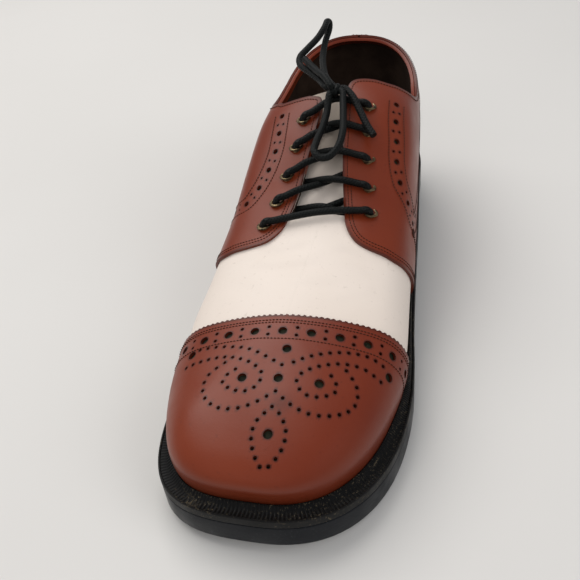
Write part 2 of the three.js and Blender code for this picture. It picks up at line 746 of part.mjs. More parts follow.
// Lace of eight sides along a smooth line
const LACE_SIDES = 8;
const STEP = 4.2;
const BOW_STEP = 1.7 * LACE;
function lace(points, spacing = STEP) {
  const line = new THREE.CatmullRomCurve3(points, false, 'centripetal');
  const section = Array.from({ length: LACE_SIDES }, (_, i) => {
    const angle = 2 * Math.PI * i / LACE_SIDES;
    return new THREE.Vector2(LACE / 2 * Math.cos(angle), LACE / 2 * Math.sin(angle));
  });
  const steps = Math.ceil(line.getLength() / spacing);
  return solid(new THREE.ExtrudeGeometry(new THREE.Shape(section), { steps, extrudePath: line }));
}

// Ends of a strand at an eyelet: distance from it towards the other end, and height above the skin
const EYELET_JOINT = 0;
const ABOVE = [
  { along: 0, height: EYELET_JOINT + GAP / 2 },
  { along: 0, height: RIM_TOP },
  { along: 0.6, height: RIM_TOP + 1.2 },
  { along: 2.2, height: RIM_TOP + GAP + LACE / 2 + 0.15 },
  { along: 4.8, height: FACING_TOP + GAP + LACE / 2 + 0.5 },
];
const BELOW = [
  { along: 0, height: EYELET_JOINT - GAP / 2 },
  { along: 0, height: -LACE_DEPTH + 1.7 },
  { along: 1.1, height: -LACE_DEPTH + 0.4 },
  { along: 3, height: -LACE_DEPTH },
];

// Strand between two eyelets. middle is its height above the skin half way over the throat.
function strand(from, to, middle) {
  const [a, b] = [from, to].map(({ side, row }) => ({ at: row.at, across: SIDES[side] * row.across }));
  const reach = Math.hypot((b.at - a.at) * LENGTH, (b.across - a.across) * THROAT_WIDTH);
  const between = (share, height) => over(mix(a.at, b.at, share), mix(a.across, b.across, share), height);
  const edge = ({ side, end }, share) => {
    const at = mix(a.at, b.at, share);
    const along = (edgeAt(side, at) - a.across) / (b.across - a.across);
    const height = end === ABOVE ? FACING_TOP + GAP + LACE / 2 + 0.1 : -LACE_DEPTH;
    return between(along, height);
  };
  return lace([
    ...from.end.map(({ along, height }) => between(along / reach, height)),
    edge(from, 0.25),
    between(0.5, middle),
    edge(to, 0.75),
    ...[...to.end].reverse().map(({ along, height }) => between(1 - along / reach, height)),
  ]);
}
const eye = (side, index, end) => ({ side, row: EYELETS[side][index], end });
const laceBar = strand(eye('inner', 0, ABOVE), eye('outer', 0, ABOVE), FACING_TOP + GAP + LACE / 2);

// Crossings from each pair of eyelets to the next: the lower strand, then the upper one on it
const CROSSING = [
  { from: 0, start: BELOW, low: -4.0, high: -1.0 },
  { from: 1, start: ABOVE, low: -1.8, high: 1.3 },
  { from: 2, start: ABOVE, low: -1.8, high: 1.3 },
  { from: 3, start: ABOVE, low: -1.8, high: 1.3 },
];
const crossings = CROSSING.map(({ from, start, low, high }) => (
  strand(eye('inner', from, start), eye('outer', from + 1, BELOW), low)
    .add(strand(eye('outer', from, start), eye('inner', from + 1, BELOW), high))
));

// Last strands meet under the knot
const KNOT = { at: 0.637, across: -0.03, height: 3.9 };
const last = EYELETS.inner.length - 1;
function toKnot(side) {
  const row = EYELETS[side][last];
  const a = { at: row.at, across: SIDES[side] * row.across };
  const reach = Math.hypot((KNOT.at - a.at) * LENGTH, (KNOT.across - a.across) * THROAT_WIDTH);
  return ABOVE.map(({ along, height }) => (
    over(mix(a.at, KNOT.at, along / reach), mix(a.across, KNOT.across, along / reach), height)
  ));
}
crossings.push(lace([
  ...toKnot('inner'),
  over(KNOT.at, KNOT.across, KNOT.height),
  ...toKnot('outer').reverse(),
]));

// Knot, and the lines of the bow's loops and ends from it, in millimetres from the knot's middle
const KNOT_SIZE = { x: 8.4, y: 7.0, z: 5.4 };
const KNOT_LIFT = LACE / 2 + GAP + KNOT_SIZE.z / 2;
const knotPlace = over(KNOT.at, KNOT.across, KNOT.height).add(new THREE.Vector3(0, 0, KNOT_LIFT));
const BOW = {
  lace_loop_back: [
    [-4.4, 1.9, 0.9], [-9, 8, 2.5], [-18, 18, 4.5], [-24.5, 29, 5.5], [-24, 42, 8], [-20.5, 53, 10.5],
    [-15, 58.5, 11.5], [-9.5, 54, 11], [-7.5, 42, 8.5], [-8.5, 30, 6.5], [-6, 17, 5], [-3.2, 8.5, 3.2],
    [-1.9, 3.7, 1.2],
  ],
  lace_loop_front: [
    [4.4, -1.9, 0.2], [8.2, -8, 0.2], [8.6, -18, -4.4], [7.4, -27.5, -9.5], [3.2, -34.5, -13.2],
    [-3, -36, -14], [-7.4, -31, -11.4], [-7.6, -22, -6.6], [-5.2, -13, -2.2], [-2.4, -7.4, -0.4],
    [-1.6, -3.7, -0.2],
  ],
  lace_end_1: [[-4.9, -1.7, -0.9], [-11, 1.2, -2.2], [-16.5, 11, -1.6], [-20, 22, -1], [-22.3, 33.5, -1.6]],
  lace_end_2: [[4.8, 1.6, 0.2], [9.4, 0.6, 0], [14.5, -5, -3.2], [19.5, -12.5, -8.2], [22.5, -20, -12.4]],
};
const knotBall = new THREE.SphereGeometry(0.5, 8, 6).scale(KNOT_SIZE.x, KNOT_SIZE.y, KNOT_SIZE.z);
const knot = solid(knotBall.translate(knotPlace.x, knotPlace.y, knotPlace.z));
const bow = Object.entries(BOW).map(([name, line]) => ({
  name,
  body: lace(line.map(([x, y, z]) => new THREE.Vector3(x, y, z).add(knotPlace)), BOW_STEP),
}));

// Finishes
const FINISHES = {
  brown: new THREE.MeshStandardMaterial({ color: 0x8a4628, roughness: 0.35, metalness: 0 }),
  white: new THREE.MeshStandardMaterial({ color: 0xece4da, roughness: 0.6, metalness: 0 }),
  black: new THREE.MeshStandardMaterial({ color: 0x1b1d20, roughness: 0.5, metalness: 0 }),
  brass: new THREE.MeshStandardMaterial({ color: 0x9a7a4a, roughness: 0.4, metalness: 1 }),
  lace: new THREE.MeshStandardMaterial({ color: 0x101214, roughness: 0.6, metalness: 0 }),
  lining: new THREE.MeshStandardMaterial({ color: 0x2a211c, roughness: 0.7, metalness: 0 }),
};

// Cut faces lose the slivers and steps that are smaller than this
const SLIVER = 0.12;
const shoe = new THREE.Group();
function addPiece(name, body, finish, ease = 0) {
  const mesh = new THREE.Mesh(geometryOf(ease > 0 ? body.simplify(ease) : body), FINISHES[finish].clone());
  mesh.name = name;
  shoe.add(mesh);
  return mesh;
}
const upper = outerForm.subtract(innerForm).subtract(collar).subtract(openThroat)
  .subtract(holes.inner).subtract(holes.outer);
addPiece('outsole', outsole, 'black');
addPiece('heel', heel, 'black');
addPiece('welt', welt, 'black', SLIVER);
addPiece('insole', insole, 'lining');
addPiece('upper', upper, 'white', SLIVER);
addPiece('toe_cap', toeCap, 'brown', SLIVER);
addPiece('quarter_inner', quarter('inner').subtract(holes.inner), 'brown', SLIVER);
addPiece('quarter_outer', quarter('outer').subtract(holes.outer), 'brown', SLIVER);
addPiece('tongue', tongue, 'white');
for (const side of Object.keys(EYELETS)) {
  eyelets[side].forEach((body, i) => addPiece(`eyelet_${side}_${i + 1}`, body, 'brass'));
}
addPiece('lace_bar', laceBar, 'lace', SLIVER);
crossings.forEach((body, i) => addPiece(`lace_crossing_${i + 1}`, body, 'lace', SLIVER));
addPiece('lace_knot', knot, 'lace');
bow.forEach(({ name, body }) => addPiece(name, body, 'lace', SLIVER));

// The origin is the middle of the shoe's foot print on the floor
const box = new THREE.Box3().setFromObject(shoe);
const middle = box.getCenter(new THREE.Vector3());
shoe.position.set(-middle.x, -middle.y, -box.min.z);

export default shoe;
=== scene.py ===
"""Spectator shoe for the left foot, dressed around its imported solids.

Sizes are in millimetres and become metres where points are handed to Blender. The toe points to -Y,
the outer side of the foot to +X, and the floor is Z = 0.
"""

from __future__ import annotations

import logging
import math
from collections.abc import Callable, Sequence
from dataclasses import dataclass, field
from enum import Enum

import bmesh  # noqa: E402
import bpy  # noqa: E402
import numpy as np  # noqa: E402
from mathutils import Matrix, Vector  # noqa: E402


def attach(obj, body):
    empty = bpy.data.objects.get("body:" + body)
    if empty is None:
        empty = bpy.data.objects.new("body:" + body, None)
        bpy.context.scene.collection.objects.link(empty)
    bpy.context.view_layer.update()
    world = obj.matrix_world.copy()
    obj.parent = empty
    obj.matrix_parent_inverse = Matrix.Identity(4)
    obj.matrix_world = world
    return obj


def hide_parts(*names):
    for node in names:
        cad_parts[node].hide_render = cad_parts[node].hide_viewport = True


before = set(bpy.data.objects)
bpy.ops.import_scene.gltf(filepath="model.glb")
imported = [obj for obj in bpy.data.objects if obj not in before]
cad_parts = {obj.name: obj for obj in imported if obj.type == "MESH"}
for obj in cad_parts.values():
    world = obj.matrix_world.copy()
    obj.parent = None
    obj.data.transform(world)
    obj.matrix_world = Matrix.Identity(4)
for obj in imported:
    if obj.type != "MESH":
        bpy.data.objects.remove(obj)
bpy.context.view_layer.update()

LOG = logging.getLogger("shoe")
MM = 0.001
Array = np.ndarray
Colour = tuple[float, float, float]
Piece = bpy.types.Object
Socket = bpy.types.NodeSocket

# where the form's profile reaches its belly and its shoulder
BELLY_T = 0.22
SHOULDER_T = 0.55
# the seam at the heel is s = 1, where the surface has no normal
NEAR_ONE = 0.99999
# least length or difference that is divided by
TINY = 1e-12
# steps of a search by halving
HALVINGS = 26
# height of the thread over the leather, in millimetres
THREAD_LIFT = 0.02
# corners sharper than this are rounded
RIM_ANGLE = math.radians(55)
# a path moved sideways keeps the points that come out this far, as a share of the move
UNCURLED = 0.95
# how far below and above the leather a punch reaches, in millimetres
PUNCH_REACH = (2.2, 1.2)


class Side(Enum):
    """The two sides of the shoe."""

    INNER = -1
    OUTER = 1


# ---------------------------------------------------------------- the last


def eased(knots: Array, values: Array, at: Array) -> Array:
    """Smooth curve through a table's values.

    Args:
        knots: places of the table's rows, rising.
        values: one value a row.
        at: places to read.

    Returns:
        The curve's value at each place.
    """
    slopes = np.empty_like(values)
    slopes[1:-1] = (values[2:] - values[:-2]) / (knots[2:] - knots[:-2])
    slopes[0] = (values[1] - values[0]) / (knots[1] - knots[0])
    slopes[-1] = (values[-1] - values[-2]) / (knots[-1] - knots[-2])
    i = np.clip(np.searchsorted(knots, at, side="left") - 1, 0, len(knots) - 2)
    span = knots[i + 1] - knots[i]
    t = np.clip((at - knots[i]) / span, 0.0, 1.0)
    return hermite(values[i], values[i + 1], slopes[i] * span, slopes[i + 1] * span, t)


def hermite(start: Array, end: Array, slope_start: Array, slope_end: Array, t: Array) -> Array:
    """Cubic between two values with a slope at each.

    Args:
        start: value at t = 0.
        end: value at t = 1.
        slope_start: slope at t = 0.
        slope_end: slope at t = 1.
        t: share of the way.

    Returns:
        The value at t.
    """
    t2 = t * t
    t3 = t2 * t
    return (
        (2 * t3 - 3 * t2 + 1) * start
        + (t3 - 2 * t2 + t) * slope_start
        + (3 * t2 - 2 * t3) * end
        + (t3 - t2) * slope_end
    )


def smoothstep(at: Array, low: float, high: float) -> Array:
    """Smooth rise from 0 at low to 1 at high."""
    t = np.clip((at - low) / (high - low), 0.0, 1.0)
    return t * t * (3 - 2 * t)


@dataclass(frozen=True)
class Last:
    """The shoe's form: its sole's outline, and the surface that the upper is drawn over.

    A place on the surface is (s, t). s runs from -1 at the heel along the inner side to 0 at the
    toe, and along the outer side to 1 at the heel. t runs from 0 at the welt to 1 on the ridge.
    """

    length: float = 305.0
    ball_width: float = 112.0
    heel_width: float = 79.0
    heel_height: float = 13.0
    heel_length: float = 78.0
    sole: float = 12.0
    welt: float = 4.5
    ledge: float = 8.0
    bead: float = 2.2
    toe_spring: float = 6.5
    insole_cover: float = 2.5
    instep_rise: float = 80.0
    collar_rise: float = 70.0
    wall: float = 1.8
    overlay: float = 1.3
    gap: float = 0.3
    throat_width: float = 26.0
    shift: float = 5.451
    tread_start: float = 0.17
    tread_end: float = 0.39
    arch_end: float = 0.76
    toe_part: float = 0.3
    heel_part: float = 0.8
    belly_up: float = 0.34
    roundness_toe: tuple[float, float] = (3.2, 2.35)
    roundness_heel: tuple[float, float] = (2.4, 2.4)
    # at, inner share, outer share, change from ball to heel
    sides: tuple[tuple[float, ...], ...] = (
        (0.27, 0.542, 0.445, 0.0),
        (0.32, 0.541, 0.436, 0.0),
        (0.39, 0.536, 0.429, 0.1),
        (0.47, 0.534, 0.437, 0.3),
        (0.55, 0.529, 0.450, 0.5),
        (0.63, 0.523, 0.468, 0.7),
        (0.71, 0.528, 0.486, 0.9),
        (0.81, 0.525, 0.477, 1.0),
    )
    # at, ridge, axis, then the inner and the outer side's ledge, belly, shoulder out, shoulder up
    sections: tuple[tuple[float, ...], ...] = (
        (0.00, 0.180, -0.053, 1.28, 1.28, 0.16, 0.16, 0.88, 0.88, 0.80, 0.80),
        (0.06, 0.315, -0.053, 1.22, 1.28, 0.22, 0.20, 0.84, 0.84, 0.79, 0.79),
        (0.12, 0.410, -0.053, 1.14, 1.20, 0.30, 0.20, 0.81, 0.81, 0.77, 0.77),
        (0.19, 0.461, -0.053, 0.98, 1.05, 0.38, 0.22, 0.79, 0.79, 0.77, 0.77),
        (0.27, 0.492, -0.053, 0.84, 0.78, 0.42, 0.24, 0.80, 0.79, 0.78, 0.78),
        (0.36, 0.542, -0.035, 0.78, 0.62, 0.48, 0.26, 0.83, 0.80, 0.80, 0.80),
        (0.43, 0.612, -0.010, 0.76, 0.56, 0.52, 0.28, 0.87, 0.83, 0.82, 0.82),
        (0.50, 0.682, 0.010, 0.72, 0.52, 0.54, 0.30, 0.90, 0.86, 0.83, 0.84),
        (0.57, 0.819, 0.020, 0.66, 0.52, 0.52, 0.30, 0.93, 0.88, 0.82, 0.85),
        (0.64, 0.942, 0.020, 0.60, 0.54, 0.46, 0.30, 0.95, 0.91, 0.81, 0.85),
        (0.70, 0.975, 0.015, 0.56, 0.56, 0.40, 0.30, 0.95, 0.93, 0.80, 0.83),
        (0.81, 0.995, -0.027, 0.54, 0.60, 0.34, 0.28, 0.94, 0.93, 0.80, 0.80),
        (1.00, 0.995, -0.027, 1.20, 1.20, 0.30, 0.30, 0.93, 0.93, 0.80, 0.80),
    )
    # collar seen from the side: at, rise as a share of the collar's rise
    top_inner: tuple[tuple[float, float], ...] = (
        (0.650, 1.40), (0.657, 1.01), (0.668, 0.94), (0.687, 0.88), (0.720, 0.825), (0.765, 0.80),
        (0.815, 0.825), (0.870, 0.885), (0.920, 0.95), (0.965, 1.0), (1.02, 1.02),
    )
    top_outer: tuple[tuple[float, float], ...] = (
        (0.690, 1.40), (0.697, 1.09), (0.705, 1.01), (0.720, 0.92), (0.742, 0.85), (0.778, 0.805),
        (0.820, 0.815), (0.870, 0.88), (0.920, 0.95), (0.965, 1.0), (1.02, 1.02),
    )
    # facing edges along the throat: at, inner and outer as shares of the throat's width
    throat: tuple[tuple[float, float, float], ...] = (
        (0.440, 0.680, 0.500), (0.475, 0.590, 0.385), (0.510, 0.510, 0.310), (0.560, 0.420, 0.230),
        (0.620, 0.310, 0.190), (0.642, 0.315, 0.165), (0.650, 0.370, 0.155), (0.660, 0.700, 0.150),
        (0.683, 1.000, 0.220), (0.693, 1.000, 0.420), (0.703, 1.000, 0.900),
    )
    throat_end: float = 0.466
    # front edge of each quarter: t, at
    front_inner: tuple[tuple[float, float], ...] = (
        (-0.1, 0.500), (0.0, 0.480), (0.25, 0.438), (0.50, 0.408), (0.60, 0.407), (0.72, 0.409),
        (0.80, 0.416), (0.87, 0.438), (0.93, 0.480), (1.0, 0.540),
    )
    front_outer: tuple[tuple[float, float], ...] = (
        (-0.1, 0.505), (0.0, 0.488), (0.25, 0.452), (0.50, 0.427), (0.60, 0.426), (0.72, 0.428),
        (0.80, 0.438), (0.87, 0.460), (0.93, 0.500), (1.0, 0.560),
    )
    cap_length: float = 85.0
    cap_tilt: float = 9.0
    cap_bow: float = 3.0

    @property
    def face(self) -> float:
        """Height of an overlay's outer face over the form."""
        return self.gap + self.overlay

    def column(self, table: Sequence[Sequence[float]], index: int, at: Array) -> Array:
        """One column of a table, read smoothly at shares."""
        rows = np.array(table, float)
        return eased(rows[:, 0], rows[:, index], at)

    def place_y(self, at: Array) -> Array:
        """Y of a share of the length, from the toe."""
        return (at - 0.5) * self.length

    def share_y(self, y: Array) -> Array:
        """Share of the length, from the toe, of a Y."""
        return y / self.length + 0.5

    def walk_of(self, at: Array) -> Array:
        """Walk along a side for a share of the length, between the two fans."""
        first, last = self.sides[0][0], self.sides[-1][0]
        return self.toe_part + (self.heel_part - self.toe_part) * (at - first) / (last - first)

    def sole_half(self, way: Array, at: Array) -> Array:
        """Half width of the sole at a share of the length, on the side that way points to."""
        mixed = self.column(self.sides, 3, at)
        width = self.ball_width + (self.heel_width - self.ball_width) * mixed
        share = np.where(way < 0, self.column(self.sides, 1, at), self.column(self.sides, 2, at))
        return width * share

    def ridge_rise(self, at: Array) -> Array:
        """Height of the ridge above the welt."""
        return self.instep_rise * self.column(self.sections, 1, at)

    def ridge_x(self, at: Array) -> Array:
        """X of the ridge."""
        inside = np.clip(at, self.sides[0][0], self.sides[-1][0])
        return self.ball_width * self.column(self.sections, 2, inside)

    def underside(self, y: Array) -> Array:
        """Height of the sole's underside."""
        at = self.share_y(y)
        toe = self.toe_spring * (np.clip(self.tread_start - at, 0, None) / self.tread_start) ** 2
        arch = (self.heel_height + self.gap) * smoothstep(at, self.tread_end, self.arch_end)
        return np.where(at < self.tread_start, toe, arch)

    def sole_top(self, y: Array) -> Array:
        """Height of the sole's upper face."""
        return self.underside(y) + self.sole

    def welt_top(self, y: Array) -> Array:
        """Height of the welt's ledge."""
        return self.sole_top(y) + self.gap + self.welt

    def outline(self, s: Array) -> tuple[Array, Array, Array]:
        """Sole's outline.

        Args:
            s: places round the shoe.

        Returns:
            X, Y and share of the length of each place.
        """
        way = np.where(s < 0, -1.0, 1.0)
        walk = np.abs(s)
        first, last = self.sides[0][0], self.sides[-1][0]
        at = first + (last - first) * (walk - self.toe_part) / (self.heel_part - self.toe_part)
        x = way * self.sole_half(way, at)
        y = self.place_y(at)
        toe = walk <= self.toe_part
        heel = walk >= self.heel_part
        turn = np.where(toe, walk / self.toe_part, (1 - walk) / (1 - self.heel_part)) * math.pi / 2
        start = np.where(toe, first, last)
        power = np.where(
            toe,
            np.where(way < 0, *self.roundness_toe),
            np.where(way < 0, *self.roundness_heel),
        )
        centre = self.ridge_x(start)
        half = np.abs(way * self.sole_half(way, start) - centre)
        reach = np.where(toe, first, 1 - last) * self.length
        turn = np.clip(turn, 0, math.pi / 2)
        radius = ((np.sin(turn) / half) ** power + (np.cos(turn) / reach) ** power) ** (-1 / power)
        fan_x = centre + way * radius * np.sin(turn)
        fan_y = self.place_y(start) + np.where(toe, -1, 1) * radius * np.cos(turn)
        fan = toe | heel
        x = np.where(fan, fan_x, x)
        y = np.where(fan, fan_y, y)
        return x, y, self.share_y(y)

    def inset(self, s: Array, distance: Array) -> tuple[Array, Array, Array]:
        """The outline moved inwards, square to itself.

        Args:
            s: places round the shoe.
            distance: how far inwards.

        Returns:
            X, Y and share of the length of each place.
        """
        step = 1e-4
        x, y, at = self.outline(s)
        x0, y0, _ = self.outline(np.maximum(s - step, -1))
        x1, y1, _ = self.outline(np.minimum(s + step, 1))
        run = np.maximum(np.hypot(x1 - x0, y1 - y0), TINY)
        return x - distance * (y1 - y0) / run, y + distance * (x1 - x0) / run, at

    def pick(self, s: Array, index: int, at: Array) -> Array:
        """A pair of columns of the sections' table, read on each place's own side."""
        inner = self.column(self.sections, index, at)
        outer = self.column(self.sections, index + 1, at)
        return np.where(s < 0, inner, outer)

    def ledge_width(self, s: Array) -> Array:
        """Distance from the sole's edge to the line where the upper stands."""
        return self.ledge * self.pick(s, 3, self.outline(s)[2])

    def feather(self, s: Array, further: Array | float = 0.0) -> tuple[Array, Array, Array]:
        """Line where the upper meets the welt, moved inwards by further."""
        return self.inset(s, self.ledge_width(s) + further)

    def profile(self, s: Array, at: Array, half: Array, t: Array) -> tuple[Array, Array]:
        """Section's profile.

        Args:
            s: places round the shoe.
            at: their shares of the length.
            half: distance from the ridge's line to the feather line.
            t: share of the way from welt to ridge.

        Returns:
            Share of the half width outwards, and share of the ridge's rise upwards.
        """
        belly = self.ledge * self.pick(s, 5, at) / half
        out, up = self.pick(s, 7, at), self.pick(s, 9, at)
        one, nil = np.ones_like(out), np.zeros_like(out)
        knots = (0.0, BELLY_T, SHOULDER_T, 1.0)
        outs = (one, one + belly, out, nil)
        slopes_out = (2 * belly, nil, -0.5 * (one + belly), -out)
        ups = (nil, one * self.belly_up, up, one)
        slopes_up = (one * self.belly_up, up * 0.5, one * 0.5 * (1 - self.belly_up), nil)
        where_out, where_up = nil, nil
        for i in range(3):
            share = np.clip((t - knots[i]) / (knots[i + 1] - knots[i]), 0, 1)
            start = (t >= knots[i]) if i == 0 else (t > knots[i])
            here = start & (t <= knots[i + 1]) if i < 2 else start
            across = hermite(outs[i], outs[i + 1], slopes_out[i], slopes_out[i + 1], share)
            above = hermite(ups[i], ups[i + 1], slopes_up[i], slopes_up[i + 1], share)
            where_out = np.where(here, across, where_out)
            where_up = np.where(here, above, where_up)
        return where_out, where_up

    def skin(self, s: Array, t: Array) -> Array:
        """Points of the form's surface at (s, t), in millimetres."""
        foot_x, foot_y, at = self.feather(s)
        first, last = self.sides[0][0], self.sides[-1][0]
        centre_x = self.ridge_x(at)
        centre_y = self.place_y(np.clip(at, first, last))
        half = np.hypot(foot_x - centre_x, foot_y - centre_y)
        out, up = self.profile(s, at, half, np.clip(t, 0, 1))
        x = centre_x + (foot_x - centre_x) * out
        y = centre_y + (foot_y - centre_y) * out
        z = self.welt_top(y) + self.gap + up * self.ridge_rise(self.share_y(y))
        return np.stack([x, y, z], axis=-1)

    def normal(self, s: Array, t: Array) -> Array:
        """Outward normals of the form's surface at (s, t)."""
        step = 1e-3
        low = np.clip(t, 0.0, 1.0 - step)
        along = self.skin(np.minimum(s + step, 1), low) - self.skin(np.maximum(s - step, -1), low)
        upward = self.skin(s, low + step) - self.skin(s, np.maximum(low - step, 0))
        side = np.cross(along, upward)
        y = self.skin(s, np.ones_like(t))[..., 1]
        ahead = self.welt_top(y + 1) + self.ridge_rise(self.share_y(y + 1))
        ahead = ahead - self.welt_top(y - 1) - self.ridge_rise(self.share_y(y - 1))
        top = np.stack([np.zeros_like(y), -ahead / 2, np.ones_like(y)], axis=-1)
        picked = np.where((t > 1 - step)[..., None], top, side)
        return picked / np.linalg.norm(picked, axis=-1, keepdims=True)

    def surface(self, s: Array, t: Array, offset: Array | float) -> Array:
        """Points at a height over the form, in metres, in the frame's place.

        Args:
            s: places round the shoe.
            t: shares of the way from welt to ridge.
            offset: height along the normal in millimetres.

        Returns:
            One point a place.
        """
        s, t = np.broadcast_arrays(np.asarray(s, float), np.asarray(t, float))
        height = np.broadcast_to(np.asarray(offset, float), s.shape)
        points = self.skin(s, t) + self.normal(s, t) * height[..., None]
        return self.metres(points)

    def metres(self, points: Array) -> Array:
        """Points in millimetres moved into the frame, in metres."""
        return (points + np.array([self.shift, 0, 0])) * MM

    def t_over(self, s: Array, x: Array) -> Array:
        """Share t at which the surface at s lies at an X, above the shoulder."""
        s, x = np.broadcast_arrays(np.asarray(s, float), np.asarray(x, float))
        low, high = np.full(s.shape, BELLY_T), np.ones(s.shape)
        centre = self.ridge_x(self.outline(s)[2])
        distance = np.abs(x - centre)
        for _ in range(HALVINGS):
            t = (low + high) / 2
            far = np.abs(self.skin(s, t)[..., 0] - centre) > distance
            low, high = np.where(far, t, low), np.where(far, high, t)
        return (low + high) / 2

    def over(self, at: Array, x: Array, height: Array | float) -> Array:
        """Points above the shoe's top.

        Args:
            at: shares of the length.
            x: X in millimetres before the shift.
            height: height above the form in millimetres.

        Returns:
            Points in metres in the frame.
        """
        at, x = np.broadcast_arrays(np.asarray(at, float), np.asarray(x, float))
        way = np.where(x < self.ridge_x(at), -1.0, 1.0)
        s = way * self.walk_of(at)
        return self.surface(s, self.t_over(s, x), height)

    def over_throat(self, at: float, across: float, height: float) -> Array:
        """Point over the throat, across it by a signed share of its width."""
        return self.over(np.array(at), np.array(across * self.throat_width), height)

    def leather_top(self, s: Array, throat_from: float) -> Array:
        """Share t where the leather ends at each s: at the ridge, the throat's edge or the collar.

        Args:
            s: places round the shoe.
            throat_from: share of the length where the throat starts.

        Returns:
            The highest t that is leather.
        """
        grid_t = np.linspace(0.3, 1.0, 701)
        ss, tt = np.meshgrid(s, grid_t, indexing="ij")
        points = self.skin(ss, tt)
        at = self.share_y(points[..., 1])
        inner = ss < 0
        edge = np.where(inner, self.column(self.throat, 1, at), self.column(self.throat, 2, at))
        margin = np.where(inner, -points[..., 0], points[..., 0]) - edge * self.throat_width
        margin = np.where((at >= throat_from) & (at <= self.throat[-1][0]), margin, 99.0)
        seat = self.welt_top(np.array(self.length / 2))
        rise = np.where(
            inner, self.column(self.top_inner, 1, at), self.column(self.top_outer, 1, at),
        )
        start = np.where(inner, self.top_inner[0][0], self.top_outer[0][0])
        collar = np.where(at > start, seat + self.collar_rise * rise - points[..., 2], 99.0)
        margin = np.minimum(margin, collar)
        open_at = margin <= 0
        first = np.where(open_at.any(axis=1), open_at.argmax(axis=1), len(grid_t) - 1)
        before = np.maximum(first - 1, 0)
        rows = np.arange(len(s))
        low, high = margin[rows, before], margin[rows, first]
        share = np.where((high < 0) & (low < 50), low / np.maximum(low - high, 1e-9), 1.0)
        return grid_t[before] + share * (grid_t[first] - grid_t[before])

    def locate(self, x: Array, y: Array) -> tuple[Array, Array]:
        """Places above the shoulder at points in plan.

        Args:
            x: X before the shift.
            y: Y.

        Returns:
            s and t of each point.
        """
        x, y = np.atleast_1d(np.asarray(x, float)), np.atleast_1d(np.asarray(y, float))
        found = np.zeros_like(x)
        half, ratio = np.ones_like(x), np.zeros_like(x)
        ridge = self.ridge_x(self.share_y(y))
        first, last = self.sides[0][0], self.sides[-1][0]
        for way in (-1, 1):
            mine = np.flatnonzero((x < ridge) == (way < 0))
            s = way * np.linspace(1e-5, NEAR_ONE, 4001)
            foot_x, foot_y, at = self.feather(s)
            middle_x, middle_y = self.ridge_x(at), self.place_y(np.clip(at, first, last))
            run_x, run_y = foot_x - middle_x, foot_y - middle_y
            off_x, off_y = x[mine, None] - middle_x, y[mine, None] - middle_y
            cross = run_x * off_y - run_y * off_x
            ahead = run_x * off_x + run_y * off_y > 0
            turn = (cross[:, :-1] * cross[:, 1:] <= 0) & ahead[:, :-1]
            k = turn.argmax(axis=1)
            rows = np.arange(len(mine))
            low, high = cross[rows, k], cross[rows, k + 1]
            share = low / np.where(np.abs(low - high) < TINY, 1.0, low - high)
            found[mine] = s[k] + (s[k + 1] - s[k]) * share
            half[mine] = np.hypot(run_x[k], run_y[k])
            ratio[mine] = np.hypot(off_x[rows, k], off_y[rows, k]) / half[mine]
        at = self.outline(found)[2]
        low, high = np.full(x.shape, BELLY_T), np.ones(x.shape)
        for _ in range(HALVINGS):
            t = (low + high) / 2
            far = self.profile(found, at, half, t)[0] > ratio
            low, high = np.where(far, t, low), np.where(far, high, t)
        return found, (low + high) / 2

    def cap_line(self, x: Array) -> Array:
        """Y of the toe cap's edge at an X before the shift."""
        across = x / self.ball_width
        bow = self.cap_bow * (1 - across**2)
        return self.cap_length - self.length / 2 + across * self.cap_tilt - bow


LAST = Last()


# ---------------------------------------------------------------- workshop


def deselect() -> None:
    """Leave nothing selected."""
    if bpy.context.object and bpy.context.object.mode != "OBJECT":
        bpy.ops.object.mode_set(mode="OBJECT")
    bpy.ops.object.select_all(action="DESELECT")


def pick_only(piece: Piece) -> None:
    """Select one piece and make it the active one."""
    deselect()
    bpy.context.view_layer.objects.active = piece
    piece.select_set(True)


def grid_sheet(
    name: str, columns: int, rows: int, place: Callable[[Array, Array], Array],
) -> Piece:
    """A fine grid laid over a surface.

    Args:
        name: the piece's name.
        columns: faces along u.
        rows: faces along v.
        place: gives the points for arrays u and v, both from 0 to 1.

    Returns:
        The new object, its faces smooth.
    """
    deselect()
    bpy.ops.mesh.primitive_grid_add(x_subdivisions=columns, y_subdivisions=rows, size=1.0)
    sheet = bpy.context.object
    sheet.name = sheet.data.name = name
    flat = np.empty(len(sheet.data.vertices) * 3)
    sheet.data.vertices.foreach_get("co", flat)
    uv = flat.reshape(-1, 3)[:, :2] + 0.5
    points = place(np.clip(uv[:, 0], 0, 1), np.clip(uv[:, 1], 0, 1))
    sheet.data.vertices.foreach_set("co", points.ravel())
    sheet.data.update()
    bpy.ops.object.shade_smooth()
    return sheet


def merge_doubles(piece: Piece, distance: float) -> None:
    """Merge a piece's points that lie within a distance, in millimetres."""
    pick_only(piece)
    bpy.ops.object.mode_set(mode="EDIT")
    bpy.ops.mesh.select_all(action="SELECT")
    bpy.ops.mesh.remove_doubles(threshold=distance * MM)
    bpy.ops.object.mode_set(mode="OBJECT")


def apply_modifiers(piece: Piece) -> None:
    """Apply all of a piece's modifiers in order."""
    pick_only(piece)
    for modifier in list(piece.modifiers):
        bpy.ops.object.modifier_apply(modifier=modifier.name)


def thicken(piece: Piece, wall: float, edge: float = 0.0, segments: int = 3) -> None:
    """Give a sheet its thickness below its face, and round its rim.

    Args:
        piece: the sheet.
        wall: thickness in millimetres.
        edge: rounding of the rim in millimetres, or 0.
        segments: faces of the rounding.
    """
    solid = piece.modifiers.new("wall", "SOLIDIFY")
    solid.thickness = wall * MM
    solid.offset = -1
    if edge > 0:
        bevel = piece.modifiers.new("edge", "BEVEL")
        bevel.width = edge * MM
        bevel.segments = segments
        bevel.limit_method = "ANGLE"
        bevel.angle_limit = RIM_ANGLE
    apply_modifiers(piece)


